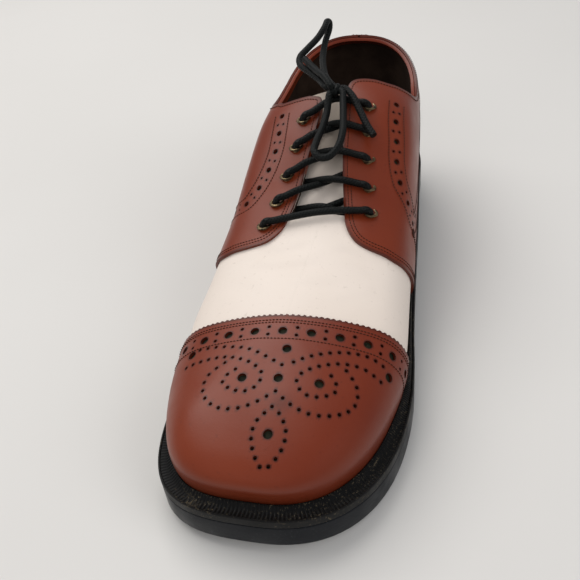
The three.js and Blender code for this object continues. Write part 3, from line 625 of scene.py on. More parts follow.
def mesh_piece(
    name: str, points: Array, faces: Sequence[Sequence[int]], smooth: bool = True,
) -> Piece:
    """A piece from points and faces.

    Args:
        name: the piece's name.
        points: points in metres.
        faces: corners of each face.
        smooth: whether it is shaded smooth.

    Returns:
        The new object.
    """
    mesh = bpy.data.meshes.new(name)
    mesh.from_pydata([tuple(p) for p in points], [], [tuple(f) for f in faces])
    mesh.update()
    piece = bpy.data.objects.new(name, mesh)
    bpy.context.scene.collection.objects.link(piece)
    if smooth:
        mesh.polygons.foreach_set("use_smooth", [True] * len(mesh.polygons))
    return piece


def copies(
    name: str, unit: tuple[Array, list[list[int]]], places: Sequence[Matrix],
) -> Piece:
    """One mesh made of many copies of a small shape.

    Args:
        name: the piece's name.
        unit: points and faces of the shape.
        places: a matrix for each copy.

    Returns:
        The new object.
    """
    base, faces = unit
    corners = np.concatenate([base, np.ones((len(base), 1))], axis=1)
    points, found = [], []
    for k, place in enumerate(places):
        points.append((corners @ np.array(place).T)[:, :3])
        found.extend([[i + k * len(base) for i in face] for face in faces])
    return mesh_piece(name, np.concatenate(points), found)


def dress(piece: Piece, kind: Finish, slot: str, *nodes: str) -> None:
    """Give a piece its finish and its body, and hide the solids that it stands for."""
    if not piece.data.materials:
        piece.data.materials.append(finish(kind))
    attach(piece, "root")
    if nodes:
        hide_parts(*nodes)
    LOG.info("%s: %d faces", piece.name, len(piece.data.polygons))


def basis(point: Array, forward: Array, up: Array) -> Matrix:
    """Matrix of a small shape: its X along forward and its Z along up."""
    x = Vector(forward).normalized()
    z = Vector(up)
    z = (z - x * z.dot(x)).normalized()
    y = z.cross(x)
    turned = Matrix((x, y, z)).transposed().to_4x4()
    turned.translation = Vector(point)
    return turned


# ---------------------------------------------------------------- paths on the leather


@dataclass
class Path:
    """A line on the leather, with the surface's normals along it; points are in metres."""

    points: Array
    normals: Array

    @classmethod
    def on_form(cls, s: Array, t: Array, height: float) -> Path:
        """Line through places (s, t) at a height over the form in millimetres."""
        return cls(
            LAST.surface(s, t, height), LAST.normal(np.asarray(s, float), np.asarray(t, float)),
        )

    @classmethod
    def over_plan(cls, points: Sequence[Sequence[float]], height: float) -> Path:
        """Smooth line over points in plan, before the shift."""
        line = smooth_line(np.array(points, float), 0.8)
        return cls.on_form(*LAST.locate(line[:, 0], line[:, 1]), height)

    @classmethod
    def across_cap(cls, back: float, height: float) -> Path:
        """Line from welt to welt beside the cap's edge, a distance ahead of it."""
        found_s, found_t = [], []
        for way in (-1, 1):
            t = np.linspace(0.02, 0.999, 420)
            low, high = np.full(t.shape, 1e-4), np.full(t.shape, 0.5)

            def behind(walk: Array) -> Array:
                """Whether a place lies behind the line."""
                spot = LAST.skin(way * walk, t)
                return spot[:, 1] > LAST.cap_line(spot[:, 0]) - back

            kept = ~behind(low) & behind(high)
            for _ in range(28):
                walk = (low + high) / 2
                far = behind(walk)
                low, high = np.where(far, low, walk), np.where(far, walk, high)
            order = np.flatnonzero(kept)
            order = order if way < 0 else order[::-1]
            found_s.append(way * walk[order])
            found_t.append(t[order])
        return cls.on_form(np.concatenate(found_s), np.concatenate(found_t), height)

    def tangents(self) -> Array:
        """Unit directions along the line."""
        along = np.gradient(self.points, axis=0)
        return along / np.maximum(np.linalg.norm(along, axis=1, keepdims=True), TINY)

    def beside(self, distance: float, height: float = 0.0) -> Path:
        """The line moved sideways over the surface and off it, both in millimetres."""
        side = np.cross(self.normals, self.tangents())
        side /= np.maximum(np.linalg.norm(side, axis=1, keepdims=True), TINY)
        moved = self.points + side * distance * MM
        kept = near(moved, self.points) >= UNCURLED * abs(distance)
        return Path((moved + self.normals * height * MM)[kept], self.normals[kept])

    def lengths(self) -> Array:
        """Distance of each point from the line's start, in millimetres."""
        steps = np.linalg.norm(np.diff(self.points, axis=0), axis=1) / MM
        return np.concatenate([[0.0], np.cumsum(steps)])

    def spaced(self, pitch: float, start: float = 0.0, end: float = 0.0) -> Path:
        """Evenly spaced points of the line, leaving out lengths at its two ends, in millimetres."""
        where = self.lengths()
        count = max(2, int(round((where[-1] - start - end) / pitch)) + 1)
        at = np.linspace(start, where[-1] - end, count)
        points = np.stack([np.interp(at, where, self.points[:, k]) for k in range(3)], axis=1)
        normals = np.stack([np.interp(at, where, self.normals[:, k]) for k in range(3)], axis=1)
        return Path(points, normals / np.linalg.norm(normals, axis=1, keepdims=True))


def circle(count: int) -> Array:
    """Even angles round a full turn."""
    return np.arange(count) / count * 2 * math.pi


def ring_faces(rings: int, count: int, around: bool = False) -> list[list[int]]:
    """Faces between rings of points.

    Args:
        rings: number of rings.
        count: points of each ring.
        around: whether the last ring joins the first.

    Returns:
        Quads of point numbers.
    """
    faces = []
    for j in range(rings if around else rings - 1):
        n = (j + 1) % rings
        for k in range(count):
            r = (k + 1) % count
            faces.append([j * count + k, j * count + r, n * count + r, n * count + k])
    return faces


def strip_lid(start: int, count: int, down: bool) -> list[list[int]]:
    """Lid of a ring in strips straight across the shoe."""
    faces = []
    for k in range(count // 2):
        corners = [start + k, start + k + 1, start + count - k - 1, start + (count - k) % count]
        kept = list(dict.fromkeys(corners))
        if len(kept) > 2:
            faces.append(kept[::-1] if down else kept)
    return faces


def block_faces(rings: int, count: int) -> list[list[int]]:
    """Faces of a closed block between its lowest and its highest ring."""
    lids = strip_lid(0, count, True) + strip_lid((rings - 1) * count, count, False)
    return ring_faces(rings, count) + lids


def outward(piece: Piece) -> None:
    """Turn a closed piece's faces outward."""
    mesh = bmesh.new()
    mesh.from_mesh(piece.data)
    bmesh.ops.recalc_face_normals(mesh, faces=mesh.faces)
    mesh.to_mesh(piece.data)
    mesh.free()


def tube(name: str, points: Array, radius: float, sides: int = 12) -> Piece:
    """Round cord along points, with a UV map that runs along it in metres.

    Args:
        name: the piece's name.
        points: centre line in metres.
        radius: in millimetres.
        sides: faces round it.

    Returns:
        The new object.
    """
    tangent = np.gradient(points, axis=0)
    tangent /= np.linalg.norm(tangent, axis=1, keepdims=True)
    up = np.array([0.0, 0.0, 1.0])
    if abs(tangent[0] @ up) > 0.9:
        up = np.array([1.0, 0.0, 0.0])
    frames = []
    for direction in tangent:
        up = up - direction * (up @ direction)
        up /= np.linalg.norm(up)
        frames.append((np.cross(up, direction), up.copy()))
    angle = circle(sides)
    rings = [
        p + radius * MM * (np.outer(np.cos(angle), a) + np.outer(np.sin(angle), b))
        for p, (a, b) in zip(points, frames)
    ]
    faces = ring_faces(len(rings), sides)
    last = (len(rings) - 1) * sides
    faces.append(list(range(sides))[::-1])
    faces.append([last + k for k in range(sides)])
    piece = mesh_piece(name, np.concatenate(rings), faces)
    travel = np.concatenate([[0], np.cumsum(np.linalg.norm(np.diff(points, axis=0), axis=1))])
    layer = piece.data.uv_layers.new(name="cord")
    for face in piece.data.polygons:
        if len(face.vertices) > 4:
            continue
        columns = [v % sides for v in face.vertices]
        wrap = max(columns) - min(columns) > 1
        for loop, vertex, column in zip(face.loop_indices, face.vertices, columns):
            layer.data[loop].uv = (
                (column + (sides if wrap and column == 0 else 0)) / sides, travel[vertex // sides],
            )
    outward(piece)
    return piece


def smooth_line(points: Sequence[Sequence[float]], step: float) -> Array:
    """Centripetal Catmull-Rom line through points, sampled about every step in the same unit."""
    p = np.asarray(points, float)
    knots = np.concatenate([[2 * p[0] - p[1]], p, [2 * p[-1] - p[-2]]])
    line = []
    for i in range(len(p) - 1):
        a, b, c, d = knots[i : i + 4]
        t0 = 0.0
        t1 = t0 + np.linalg.norm(b - a) ** 0.5
        t2 = t1 + np.linalg.norm(c - b) ** 0.5
        t3 = t2 + np.linalg.norm(d - c) ** 0.5
        count = max(1, int(math.ceil(np.linalg.norm(c - b) / step)))
        for t in np.linspace(t1, t2, count, endpoint=False):
            a1 = (t1 - t) / (t1 - t0) * a + (t - t0) / (t1 - t0) * b
            a2 = (t2 - t) / (t2 - t1) * b + (t - t1) / (t2 - t1) * c
            a3 = (t3 - t) / (t3 - t2) * c + (t - t2) / (t3 - t2) * d
            b1 = (t2 - t) / (t2 - t0) * a1 + (t - t0) / (t2 - t0) * a2
            b2 = (t3 - t) / (t3 - t1) * a2 + (t - t1) / (t3 - t1) * a3
            line.append((t2 - t) / (t2 - t1) * b1 + (t - t1) / (t2 - t1) * b2)
    line.append(p[-1])
    return np.array(line)


# ---------------------------------------------------------------- finishes


class Shader:
    """A material's node tree, with short ways to add to it."""

    def __init__(self, name: str) -> None:
        """Start a material with one shader."""
        self.material = bpy.data.materials.new(name)
        self.material.use_nodes = True
        self.nodes = self.material.node_tree.nodes
        self.links = self.material.node_tree.links
        self.shader = self.nodes["Principled BSDF"]
        self.place = self.nodes.new("ShaderNodeTexCoord").outputs["Object"]

    def set(self, **values: object) -> None:
        """Set or link the shader's inputs; underscores stand for spaces."""
        for key, value in values.items():
            socket = self.shader.inputs[key.replace("_", " ")]
            self.feed(socket, value)

    def feed(self, socket: Socket, value: object) -> None:
        """Link a socket to another, or give it a constant."""
        if isinstance(value, Socket):
            self.links.new(value, socket)
        elif isinstance(value, tuple) and len(value) == 3 and len(socket.default_value) == 4:
            socket.default_value = (*value, 1.0)
        else:
            socket.default_value = value

    def add(self, kind: str, output: str, **inputs: object) -> Socket:
        """Add a node, feed its inputs (underscores stand for spaces), and give one output."""
        node = self.nodes.new(f"ShaderNode{kind}")
        for key, value in inputs.items():
            self.feed(node.inputs[key.replace("_", " ")], value)
        return node.outputs[output]

    def noise(
        self, scale: float, detail: float = 2.0, rough: float = 0.5, place: object = None,
    ) -> Socket:
        """Noise over the object's place; scale is in cycles a metre."""
        spot = place or self.place
        return self.add(
            "TexNoise", "Fac", Vector=spot, Scale=scale, Detail=detail, Roughness=rough,
        )

    def cells(self, scale: float) -> Socket:
        """Distance to cells over the object's place."""
        return self.add("TexVoronoi", "Distance", Vector=self.place, Scale=scale)

    def stretched(self, x: float, y: float, z: float) -> Socket:
        """The object's place, scaled in each direction."""
        return self.add("Mapping", "Vector", Vector=self.place, Scale=(x, y, z))

    def steps(
        self, value: Socket, low: float, high: float, start: float = 0.0,
        end: float = 1.0,
    ) -> Socket:
        """Map low to high onto start to end, clamped."""
        return self.add(
            "MapRange", "Result",
            Value=value, From_Min=low, From_Max=high, To_Min=start, To_Max=end,
        )

    def maths(self, kind: str, a: object, b: object = 0.0) -> Socket:
        """One step of arithmetic."""
        node = self.nodes.new("ShaderNodeMath")
        node.operation = kind
        self.feed(node.inputs[0], a)
        self.feed(node.inputs[1], b)
        return node.outputs["Value"]

    def blend(self, share: object, a: object, b: object) -> Socket:
        """Mix two colours."""
        node = self.nodes.new("ShaderNodeMix")
        node.data_type = "RGBA"
        self.feed(node.inputs["Factor"], share)
        # the colours' sockets share their names with the other kinds', so they go by number
        self.feed(node.inputs[6], a)
        self.feed(node.inputs[7], b)
        return node.outputs[2]

    def attribute(self, name: str) -> Socket:
        """A number that the mesh carries."""
        node = self.nodes.new("ShaderNodeAttribute")
        node.attribute_name = name
        return node.outputs["Fac"]

    def bump(self, height: Socket, depth: float, under: object = None) -> Socket:
        """Bump of a depth in millimetres over another bump."""
        below = {} if under is None else {"Normal": under}
        return self.add("Bump", "Normal", Strength=1.0, Distance=depth * MM, Height=height, **below)


@dataclass(frozen=True)
class Leather:
    """Leather of one colour that varies, with grain, fine creases and a polish."""

    name: str
    light: Colour
    dark: Colour
    # colour of wear, burnished edges and flecks, and also of painted shade where the mesh's numbers
    # call for it
    wear_and_shade: Colour
    roughness: float
    coat: float
    grain: float
    grain_depth: float
    crease_depth: float
    patches: float = 9.0

    def build(self) -> bpy.types.Material:
        """Make the material."""
        sh = Shader(self.name)
        broad = sh.steps(sh.noise(self.patches, 3), 0.35, 0.7)
        colour = sh.blend(broad, self.light, self.dark)
        # the mesh's numbers darken burnished edges and hole rims, and paint shade on the tongue and
        # low on the toe cap
        shade = sh.steps(sh.attribute("burnish_and_shade"), 0.0, 1.0)
        colour = sh.blend(shade, colour, self.wear_and_shade)
        fleck = sh.steps(sh.noise(420, 3, 0.65), 0.62, 0.74, 0.0, 0.22)
        colour = sh.blend(fleck, colour, self.wear_and_shade)
        pores = sh.cells(self.grain)
        fine = sh.noise(self.grain * 0.4, 4, 0.6)
        wrinkle = sh.noise(38, 5, 0.62, sh.stretched(0.7, 2.6, 1.4))
        normal = sh.bump(wrinkle, self.crease_depth)
        normal = sh.bump(fine, self.grain_depth, normal)
        normal = sh.bump(pores, self.grain_depth * 0.5, normal)
        rough = sh.steps(sh.noise(60, 4), 0.3, 0.75, self.roughness - 0.06, self.roughness + 0.12)
        sh.set(
            Base_Color=colour, Roughness=rough, Normal=normal, Coat_Weight=self.coat,
            Coat_Roughness=0.3,
        )
        sh.set(Specular_IOR_Level=0.25)
        sh.set(Coat_Normal=sh.bump(wrinkle, self.crease_depth * 0.6))
        return sh.material


@dataclass(frozen=True)
class Black:
    """Black rubber or waxed leather with dust and fine scratches."""

    name: str
    base: Colour
    dust: Colour
    roughness: float
    dusty: float

    def build(self) -> bpy.types.Material:
        """Make the material."""
        sh = Shader(self.name)
        lines = sh.noise(260, 3, 0.6, sh.stretched(0.25, 0.25, 3.0))
        specks = sh.steps(sh.noise(900, 3, 0.7), 0.58, 0.70, 0.0, self.dusty)
        patch = sh.steps(sh.noise(28, 4), 0.40, 0.62)
        amount = sh.maths("MULTIPLY", specks, patch)
        scratch = sh.steps(lines, 0.66, 0.74, 0.0, self.dusty * 0.8)
        colour = sh.blend(sh.maths("MAXIMUM", amount, scratch), self.base, self.dust)
        rough = sh.steps(sh.noise(90, 4), 0.3, 0.7, self.roughness - 0.08, self.roughness + 0.12)
        normal = sh.bump(sh.noise(700, 3), 0.03)
        normal = sh.bump(lines, 0.04, normal)
        sh.set(Base_Color=colour, Roughness=rough, Normal=normal, Specular_IOR_Level=0.19)
        return sh.material


@dataclass(frozen=True)
class Cord:
    """Round braided and waxed cord, its braid following the UV map."""

    name: str
    base: Colour
    sheen: Colour

    def build(self) -> bpy.types.Material:
        """Make the material."""
        sh = Shader(self.name)
        node = sh.nodes.new("ShaderNodeUVMap")
        node.uv_map = "cord"
        split = sh.nodes.new("ShaderNodeSeparateXYZ")
        sh.links.new(node.outputs["UV"], split.inputs[0])
        round_it = sh.maths("MULTIPLY", split.outputs["X"], 2 * math.pi * 6)
        along = sh.maths("MULTIPLY", split.outputs["Y"], 2 * math.pi * 620)
        one = sh.maths("SINE", sh.maths("ADD", round_it, along))
        two = sh.maths("SINE", sh.maths("SUBTRACT", round_it, along))
        braid = sh.maths("MAXIMUM", one, two)
        normal = sh.bump(sh.steps(braid, -0.2, 1.0), 0.16)
        normal = sh.bump(sh.noise(2600, 2), 0.03, normal)
        colour = sh.blend(sh.steps(braid, 0.2, 1.0, 0.0, 0.55), self.base, self.sheen)
        sh.set(Base_Color=colour, Roughness=0.48, Normal=normal, Specular_IOR_Level=0.15)
        return sh.material


@dataclass(frozen=True)
class Metal:
    """Antique metal with tarnish."""

    name: str
    bright: Colour
    tarnish: Colour

    def build(self) -> bpy.types.Material:
        """Make the material."""
        sh = Shader(self.name)
        stain = sh.steps(sh.noise(420, 4, 0.6), 0.42, 0.62)
        colour = sh.blend(stain, self.bright, self.tarnish)
        rough = sh.steps(sh.noise(300, 3), 0.3, 0.7, 0.28, 0.48)
        sh.set(
            Base_Color=colour, Metallic=1.0, Roughness=rough,
            Normal=sh.bump(sh.noise(900, 2), 0.02),
        )
        return sh.material


@dataclass(frozen=True)
class Matt:
    """Plain dull finish with a little mottling, for linings, threads and the floor."""

    name: str
    base: Colour
    other: Colour
    roughness: float
    scale: float
    depth: float

    def build(self) -> bpy.types.Material:
        """Make the material."""
        sh = Shader(self.name)
        colour = sh.blend(sh.steps(sh.noise(self.scale, 3), 0.35, 0.65), self.base, self.other)
        sh.set(
            Base_Color=colour, Roughness=self.roughness,
            Normal=sh.bump(sh.noise(self.scale * 4, 3), self.depth),
        )
        sh.set(Specular_IOR_Level=0.2)
        return sh.material


class Finish(Enum):
    """Finishes of the shoe's pieces."""

    # the third colour darkens burnished edges, flecks and the smudge, and paints shade low on the
    # toe cap
    BROWN = Leather(
        "brown_leather", (0.190, 0.032, 0.0100), (0.130, 0.017, 0.0052), (0.026, 0.005, 0.003),
        roughness=0.38, coat=0.14, grain=1400.0, grain_depth=0.03, crease_depth=0.06,
    )
    # the third colour gives flecks, and paints shade on the tongue under the knot
    WHITE = Leather(
        "white_leather", (0.760, 0.675, 0.605), (0.700, 0.610, 0.535), (0.33, 0.27, 0.21),
        roughness=0.52, coat=0.04, grain=1500.0, grain_depth=0.04, crease_depth=0.12,
    )
    BACKING = Matt(
        "backing", (0.010, 0.012, 0.007), (0.024, 0.025, 0.014),
        roughness=0.8, scale=300.0, depth=0.05,
    )
    LINING = Matt(
        "lining", (0.022, 0.013, 0.009), (0.036, 0.022, 0.015),
        roughness=0.8, scale=90.0, depth=0.10,
    )
    SOLE = Black(
        "sole_rubber", (0.0040, 0.0050, 0.0072), (0.060, 0.062, 0.068), roughness=0.36, dusty=0.5,
    )
    WELT = Black(
        "welt_leather", (0.0045, 0.0043, 0.0042), (0.17, 0.135, 0.085), roughness=0.46, dusty=0.8,
    )
    LACE = Cord("lace_cord", (0.0022, 0.0026, 0.0026), (0.010, 0.012, 0.011))
    BRASS = Metal("antique_brass", (0.27, 0.20, 0.11), (0.075, 0.058, 0.036))
    THREAD_DARK = Matt(
        "dark_thread", (0.028, 0.009, 0.006), (0.050, 0.018, 0.010),
        roughness=0.6, scale=800.0, depth=0.05,
    )
    FLOOR = Matt(
        "floor", (0.660, 0.645, 0.622), (0.640, 0.625, 0.602),
        roughness=0.75, scale=3.0, depth=0.0,
    )


FINISHES: dict[Finish, bpy.types.Material] = {}


def finish(kind: Finish) -> bpy.types.Material:
    """Material of a finish, made once."""
    if kind not in FINISHES:
        FINISHES[kind] = kind.value.build()
    return FINISHES[kind]


# ---------------------------------------------------------------- pieces of the shoe


def ring_s(count: int) -> Array:
    """Even places round the shoe from the heel by the inner side."""
    return -1 + 2 * np.arange(count) / count


def solid(
    name: str, rings: Sequence[Array], faces: Sequence[Sequence[int]],
    degrees: float, kind: Finish, slot: str, node: str,
) -> Piece:
    """A closed piece in the place of a CAD solid.

    Args:
        name: the piece's name.
        rings: rings of points in millimetres, before the shift.
        faces: corners of each face.
        degrees: angle up to which it is shaded smooth.
        kind: its finish.
        slot: its material slot; not used.
        node: the solid that it stands for.

    Returns:
        The new object.
    """
    piece = mesh_piece(name, LAST.metres(np.concatenate(rings)), faces)
    outward(piece)
    sharpen(piece, degrees)
    dress(piece, kind, slot, node)
    return piece


@dataclass
class Outsole:
    """Sole block with rounded edges."""

    count: int = 480

    def build(self) -> Piece:
        """Build and dress the outsole."""
        s = ring_s(self.count)
        thick = LAST.sole
        # how far each ring lies inside the edge, and its height
        rows = [
            (1.0, 0.0), (0.5, 0.12), (0.14, 0.45), (0.0, 1.0),
            (0.0, thick - 1.0), (0.14, thick - 0.45), (0.5, thick - 0.12), (1.0, thick),
        ]
        rings = []
        for inset, rise in rows:
            x, y, _ = LAST.inset(s, inset)
            rings.append(np.stack([x, y, LAST.underside(y) + rise], axis=1))
        faces = block_faces(len(rings), self.count)
        return solid("outsole_block", rings, faces, 40, Finish.SOLE, "sole", "outsole")


def sharpen(piece: Piece, degrees: float) -> None:
    """Shade smooth up to an angle."""
    pick_only(piece)
    bpy.ops.object.shade_smooth_by_angle(angle=math.radians(degrees))


@dataclass
class Heel:
    """Heel block with a top piece and a curved front."""

    taper: float = 1.6
    front_bow: float = 5.0
    steps: int = 60
    breast_steps: int = 16

    def ring(self, distance: float, height: float) -> Array:
        """Outline of the block at an inset and a height."""
        breast = LAST.length / 2 - LAST.heel_length
        sides = []
        for way in (1, -1):
            walk = np.linspace(LAST.toe_part, LAST.heel_part, 4000)
            y = LAST.outline(way * walk)[1]
            start = walk[np.argmax(y > breast)]
            x, y, _ = LAST.inset(way * np.linspace(start, 1, self.steps), distance)
            sides.append(np.stack([x, y, np.full(len(x), height)], axis=1))
        outer, inner = sides[0], sides[1][::-1][1:]
        share = np.arange(1, self.breast_steps) / self.breast_steps
        front = inner[-1] + (outer[0] - inner[-1]) * share[:, None]
        front[:, 1] += self.front_bow * 4 * share * (1 - share)
        return np.concatenate([outer, inner, front])

    def build(self) -> Piece:
        """Build and dress the heel."""
        high = LAST.heel_height
        rows = [
            (self.taper + 1.0, 0.0), (self.taper + 0.3, 0.3), (self.taper, 1.0),
            # the groove over the top piece
            (self.taper - 0.3, 4.6), (self.taper + 0.05, 4.85), (self.taper + 0.05, 5.1),
            (self.taper - 0.32, 5.35), (0.5, high - 1.0),
            (0.6, high - 0.3), (1.0, high),
        ]
        rings = [self.ring(inset, rise) for inset, rise in rows]
        count = len(rings[0])
        last = (len(rings) - 1) * count
        faces = ring_faces(len(rings), count) + [
            list(range(count))[::-1], [last + k for k in range(count)],
        ]
        return solid("heel_block", rings, faces, 35, Finish.SOLE, "sole", "heel")


@dataclass
class Welt:
    """Storm welt: a wheeled edge with a raised bead along the upper."""

    count: int = 3072
    ribs: int = 512
    rib_depth: float = 0.42
    bead_start: float = 3.1
    least_foot: float = 1.25
    least_top: float = 1.9
    # places up the upper's wall that the bead follows
    levels: tuple[float, ...] = (0.0, 0.03, 0.07, 0.11)

    def section(self, s: Array) -> list[Array]:
        """Rings of the welt from its outer lower edge over the bead to its inner lower edge."""
        edge = LAST.ledge_width(s)
        wheel = 0.5 - 0.5 * np.cos(np.linspace(0, 2 * math.pi * self.ribs, len(s), endpoint=False))
        wheel = wheel**0.6
        foot = np.maximum(edge - self.bead_start - LAST.bead, self.least_foot)
        top = np.maximum(edge - self.bead_start, self.least_top)
        thick = LAST.welt
        dip = self.rib_depth * wheel
        rows: list[tuple[Array | float, Array | float]] = [
            (0.0, 0.0), (0.0, thick - 1.0), (0.12, thick - 0.35),
            (0.40, thick - 0.05), (0.80, thick - 0.05), (1.10, thick - 0.35 - dip),
            (foot * 0.9, thick - 0.15 - dip),
            (foot + (top - foot) * 0.35, thick + LAST.bead * 0.45 - dip),
            (foot + (top - foot) * 0.75, thick + LAST.bead * 0.85 - dip),
            (top + 0.4, thick + LAST.bead - self.rib_depth * 0.9 * wheel),
        ]
        rings = []
        for inset, rise in rows:
            x, y, _ = LAST.inset(s, inset)
            rings.append(np.stack([x, y, LAST.sole_top(y) + LAST.gap + rise], axis=1))
        return rings

    def build(self) -> Piece:
        """Build and dress the welt."""
        s = ring_s(self.count)
        rings = self.section(s)
        clear = LAST.overlay + 2 * LAST.gap + 0.05
        wall = []
        for level in self.levels:
            t = np.full_like(s, level)
            wall.append(LAST.skin(s, t) + LAST.normal(s, t) * clear)
        seat = LAST.welt_top(wall[0][:, 1])
        heights = np.stack([w[:, 2] for w in wall], axis=1)
        target = seat + LAST.bead
        share = np.array([np.interp(target[k], heights[k], self.levels) for k in range(len(s))])
        lip = LAST.skin(s, share) + LAST.normal(s, share) * clear
        lip[:, 2] = target - 0.1
        low = wall[0].copy()
        low[:, 2] = seat + LAST.gap
        x, y, _ = LAST.feather(s, LAST.wall)
        floor_top = np.stack([x, y, LAST.welt_top(y) - 0.3], axis=1)
        floor_low = np.stack([x, y, LAST.sole_top(y) + LAST.gap], axis=1)
        under = low.copy()
        under[:, 2] = seat - 0.3
        rings += [lip, low, under, floor_top, floor_low]
        faces = ring_faces(len(rings), self.count, around=True)
        return solid("welt_strip", rings, faces, 50, Finish.WELT, "welt", "welt")


@dataclass
class Insole:
    """Insole with its lining sock."""

    count: int = 240

    def build(self) -> Piece:
        """Build and dress the insole."""
        s = ring_s(self.count)
        further = LAST.wall + 2 * LAST.gap
        rings = []
        for inset, low, rise in (
            (0.0, True, 0.0), (0.0, False, -0.6), (0.4, False, -0.1), (1.0, False, 0.0),
        ):
            x, y, _ = LAST.feather(s, further + inset)
            z = LAST.sole_top(y) + LAST.gap if low else LAST.welt_top(y) + LAST.insole_cover + rise
            rings.append(np.stack([x, y, z], axis=1))
        faces = block_faces(len(rings), self.count)
        return solid("insole_sock", rings, faces, 45, Finish.LINING, "lining", "insole")


@dataclass(frozen=True)
class Crease:
    """A soft trough across the leather: its ends in plan, before the shift, and its shape."""

    x0: float
    y0: float
    x1: float
    y1: float
    sag: float
    width: float
    depth: float


@dataclass
class Upper:
    """The leather shell: white vamp outside, lining inside, with the vamp's creases."""

    columns: int = 560
    rows: int = 110
    # how far the white ends under the quarters (share of the length) and under the cap (mm)
    under_quarter: float = 0.018
    under_cap: float = 2.2
    # brown band at the collar: inside, over the edge, and where it starts
    band_inside: float = 6.0
    band_edge: float = 2.6
    band_from: float = 0.62
    # where the collar's rim starts: the t of the facings' front edges, and how far behind them
    rim_t: float = 0.97
    rim_behind: float = 0.024
    creases: tuple[Crease, ...] = (
        Crease(-27, -33, -3, -29, -2.0, 2.6, 0.34),
        Crease(-31, -42, 6, -38, -3.0, 3.2, 0.30),
        Crease(-14, -52, 24, -46, -2.5, 3.0, 0.26),
        Crease(8, -30, 27, -34, 1.5, 2.4, 0.30),
        Crease(-40, -52, -20, -60, 2.0, 3.4, 0.24),
        Crease(14, -58, 34, -50, 1.5, 3.0, 0.22),
        Crease(-22, -24, -34, -38, 1.5, 2.4, 0.28),
    )

    def dents(self, x: Array, y: Array) -> Array:
        """Depth of the creases at places in plan, in millimetres."""
        total = np.zeros_like(x)
        for crease in self.creases:
            run = np.array([crease.x1 - crease.x0, crease.y1 - crease.y0])
            size = np.hypot(*run)
            run = run / size
            along = (x - crease.x0) * run[0] + (y - crease.y0) * run[1]
            off = -(x - crease.x0) * run[1] + (y - crease.y0) * run[0]
            share = np.clip(along / size, 0, 1)
            off = off - crease.sag * 4 * share * (1 - share)
            fade = smoothstep(along, -0.1 * size, 0.3 * size)
            fade = fade * (1 - smoothstep(along, 0.7 * size, 1.1 * size))
            lips = np.exp(-(((np.abs(off) - 2.1 * crease.width) / crease.width) ** 2))
            trough = np.exp(-((off / crease.width) ** 2)) - 0.55 * lips
            total += crease.depth * fade * trough
        return total

    def build(self) -> Piece:
        """Build and dress the upper."""
        dense = np.linspace(-NEAR_ONE, NEAR_ONE, 3201)
        top = LAST.leather_top(dense, LAST.throat_end)
        share, where = even_columns(dense, top, 0.55)

        def place(u: Array, v: Array) -> Array:
            """Grid of the shell."""
            s = np.interp(u, share, where)
            t = v * np.interp(s, dense, top)
            plan = LAST.skin(s, t)
            return LAST.surface(s, t, -self.dents(plan[:, 0], plan[:, 1]))

        piece = grid_sheet("upper_shell", self.columns, self.rows, place)
        merge_doubles(piece, 0.04)
        face_out(piece)
        thicken(piece, LAST.wall, 0.35, 2)
        for kind in (Finish.WHITE, Finish.LINING, Finish.BROWN, Finish.BACKING):
            piece.data.materials.append(finish(kind))
        first = [
            float(LAST.walk_of(LAST.column(table, 1, np.array(self.rim_t))) + self.rim_behind)
            for table in (LAST.front_inner, LAST.front_outer)
        ]
        rim_s = dense[(dense < -first[0]) | (dense > first[1])]
        rim = LAST.surface(rim_s, np.interp(rim_s, dense, top), 0.0)
        self.paint(piece, rim)
        dress(piece, Finish.WHITE, "white_leather", "upper")
        return piece

    def paint(self, piece: Piece, rim: Array) -> None:
        """Give each face its leather: white, lining, brown at the collar, or overlays' backing."""
        mesh = piece.data
        middle = np.empty(len(mesh.polygons) * 3)
        normal = np.empty(len(mesh.polygons) * 3)
        mesh.polygons.foreach_get("center", middle)
        mesh.polygons.foreach_get("normal", normal)
        middle, normal = middle.reshape(-1, 3), normal.reshape(-1, 3)
        x, y = middle[:, 0] / MM - LAST.shift, middle[:, 1] / MM
        at = LAST.share_y(y)
        first, last = LAST.sides[0][0], LAST.sides[-1][0]
        away = np.stack(
            [
                x - LAST.ridge_x(at), y - LAST.place_y(np.clip(at, first, last)),
                np.full(len(x), 12.0),
            ],
            axis=1,
        )
        inside = (normal * away).sum(axis=1) < 0
        seat = LAST.welt_top(y)
        level = np.clip((middle[:, 2] / MM - seat) / np.maximum(LAST.ridge_rise(at), 1), 0, 1)
        inner, outer = (
            np.interp(level, (0.0, 0.34, 0.82, 1.0), self.fronts(table))
            for table in (LAST.front_inner, LAST.front_outer)
        )
        front = np.where(x < LAST.ridge_x(at), inner, outer)
        covered = (at > front + self.under_quarter) | (y < LAST.cap_line(x) - self.under_cap)
        covered &= ~inside
        edge = near(middle, rim[::3])
        kind = np.where(inside, 1, np.where(covered, 3, 0))
        kind = np.where((edge < self.band_inside) & inside & (at > self.band_from), 2, kind)
        kind = np.where(edge < self.band_edge, 2, kind)
        mesh.polygons.foreach_set("material_index", kind.astype(np.int32))
        mesh.update()

    def fronts(self, table: Sequence[Sequence[float]]) -> tuple[float, ...]:
        """Front edge of a quarter at the foot, the belly, the shoulder and the top."""
        return tuple(
            float(LAST.column(table, 1, np.array(t))) for t in (0.0, BELLY_T, SHOULDER_T, 1.0)
        )


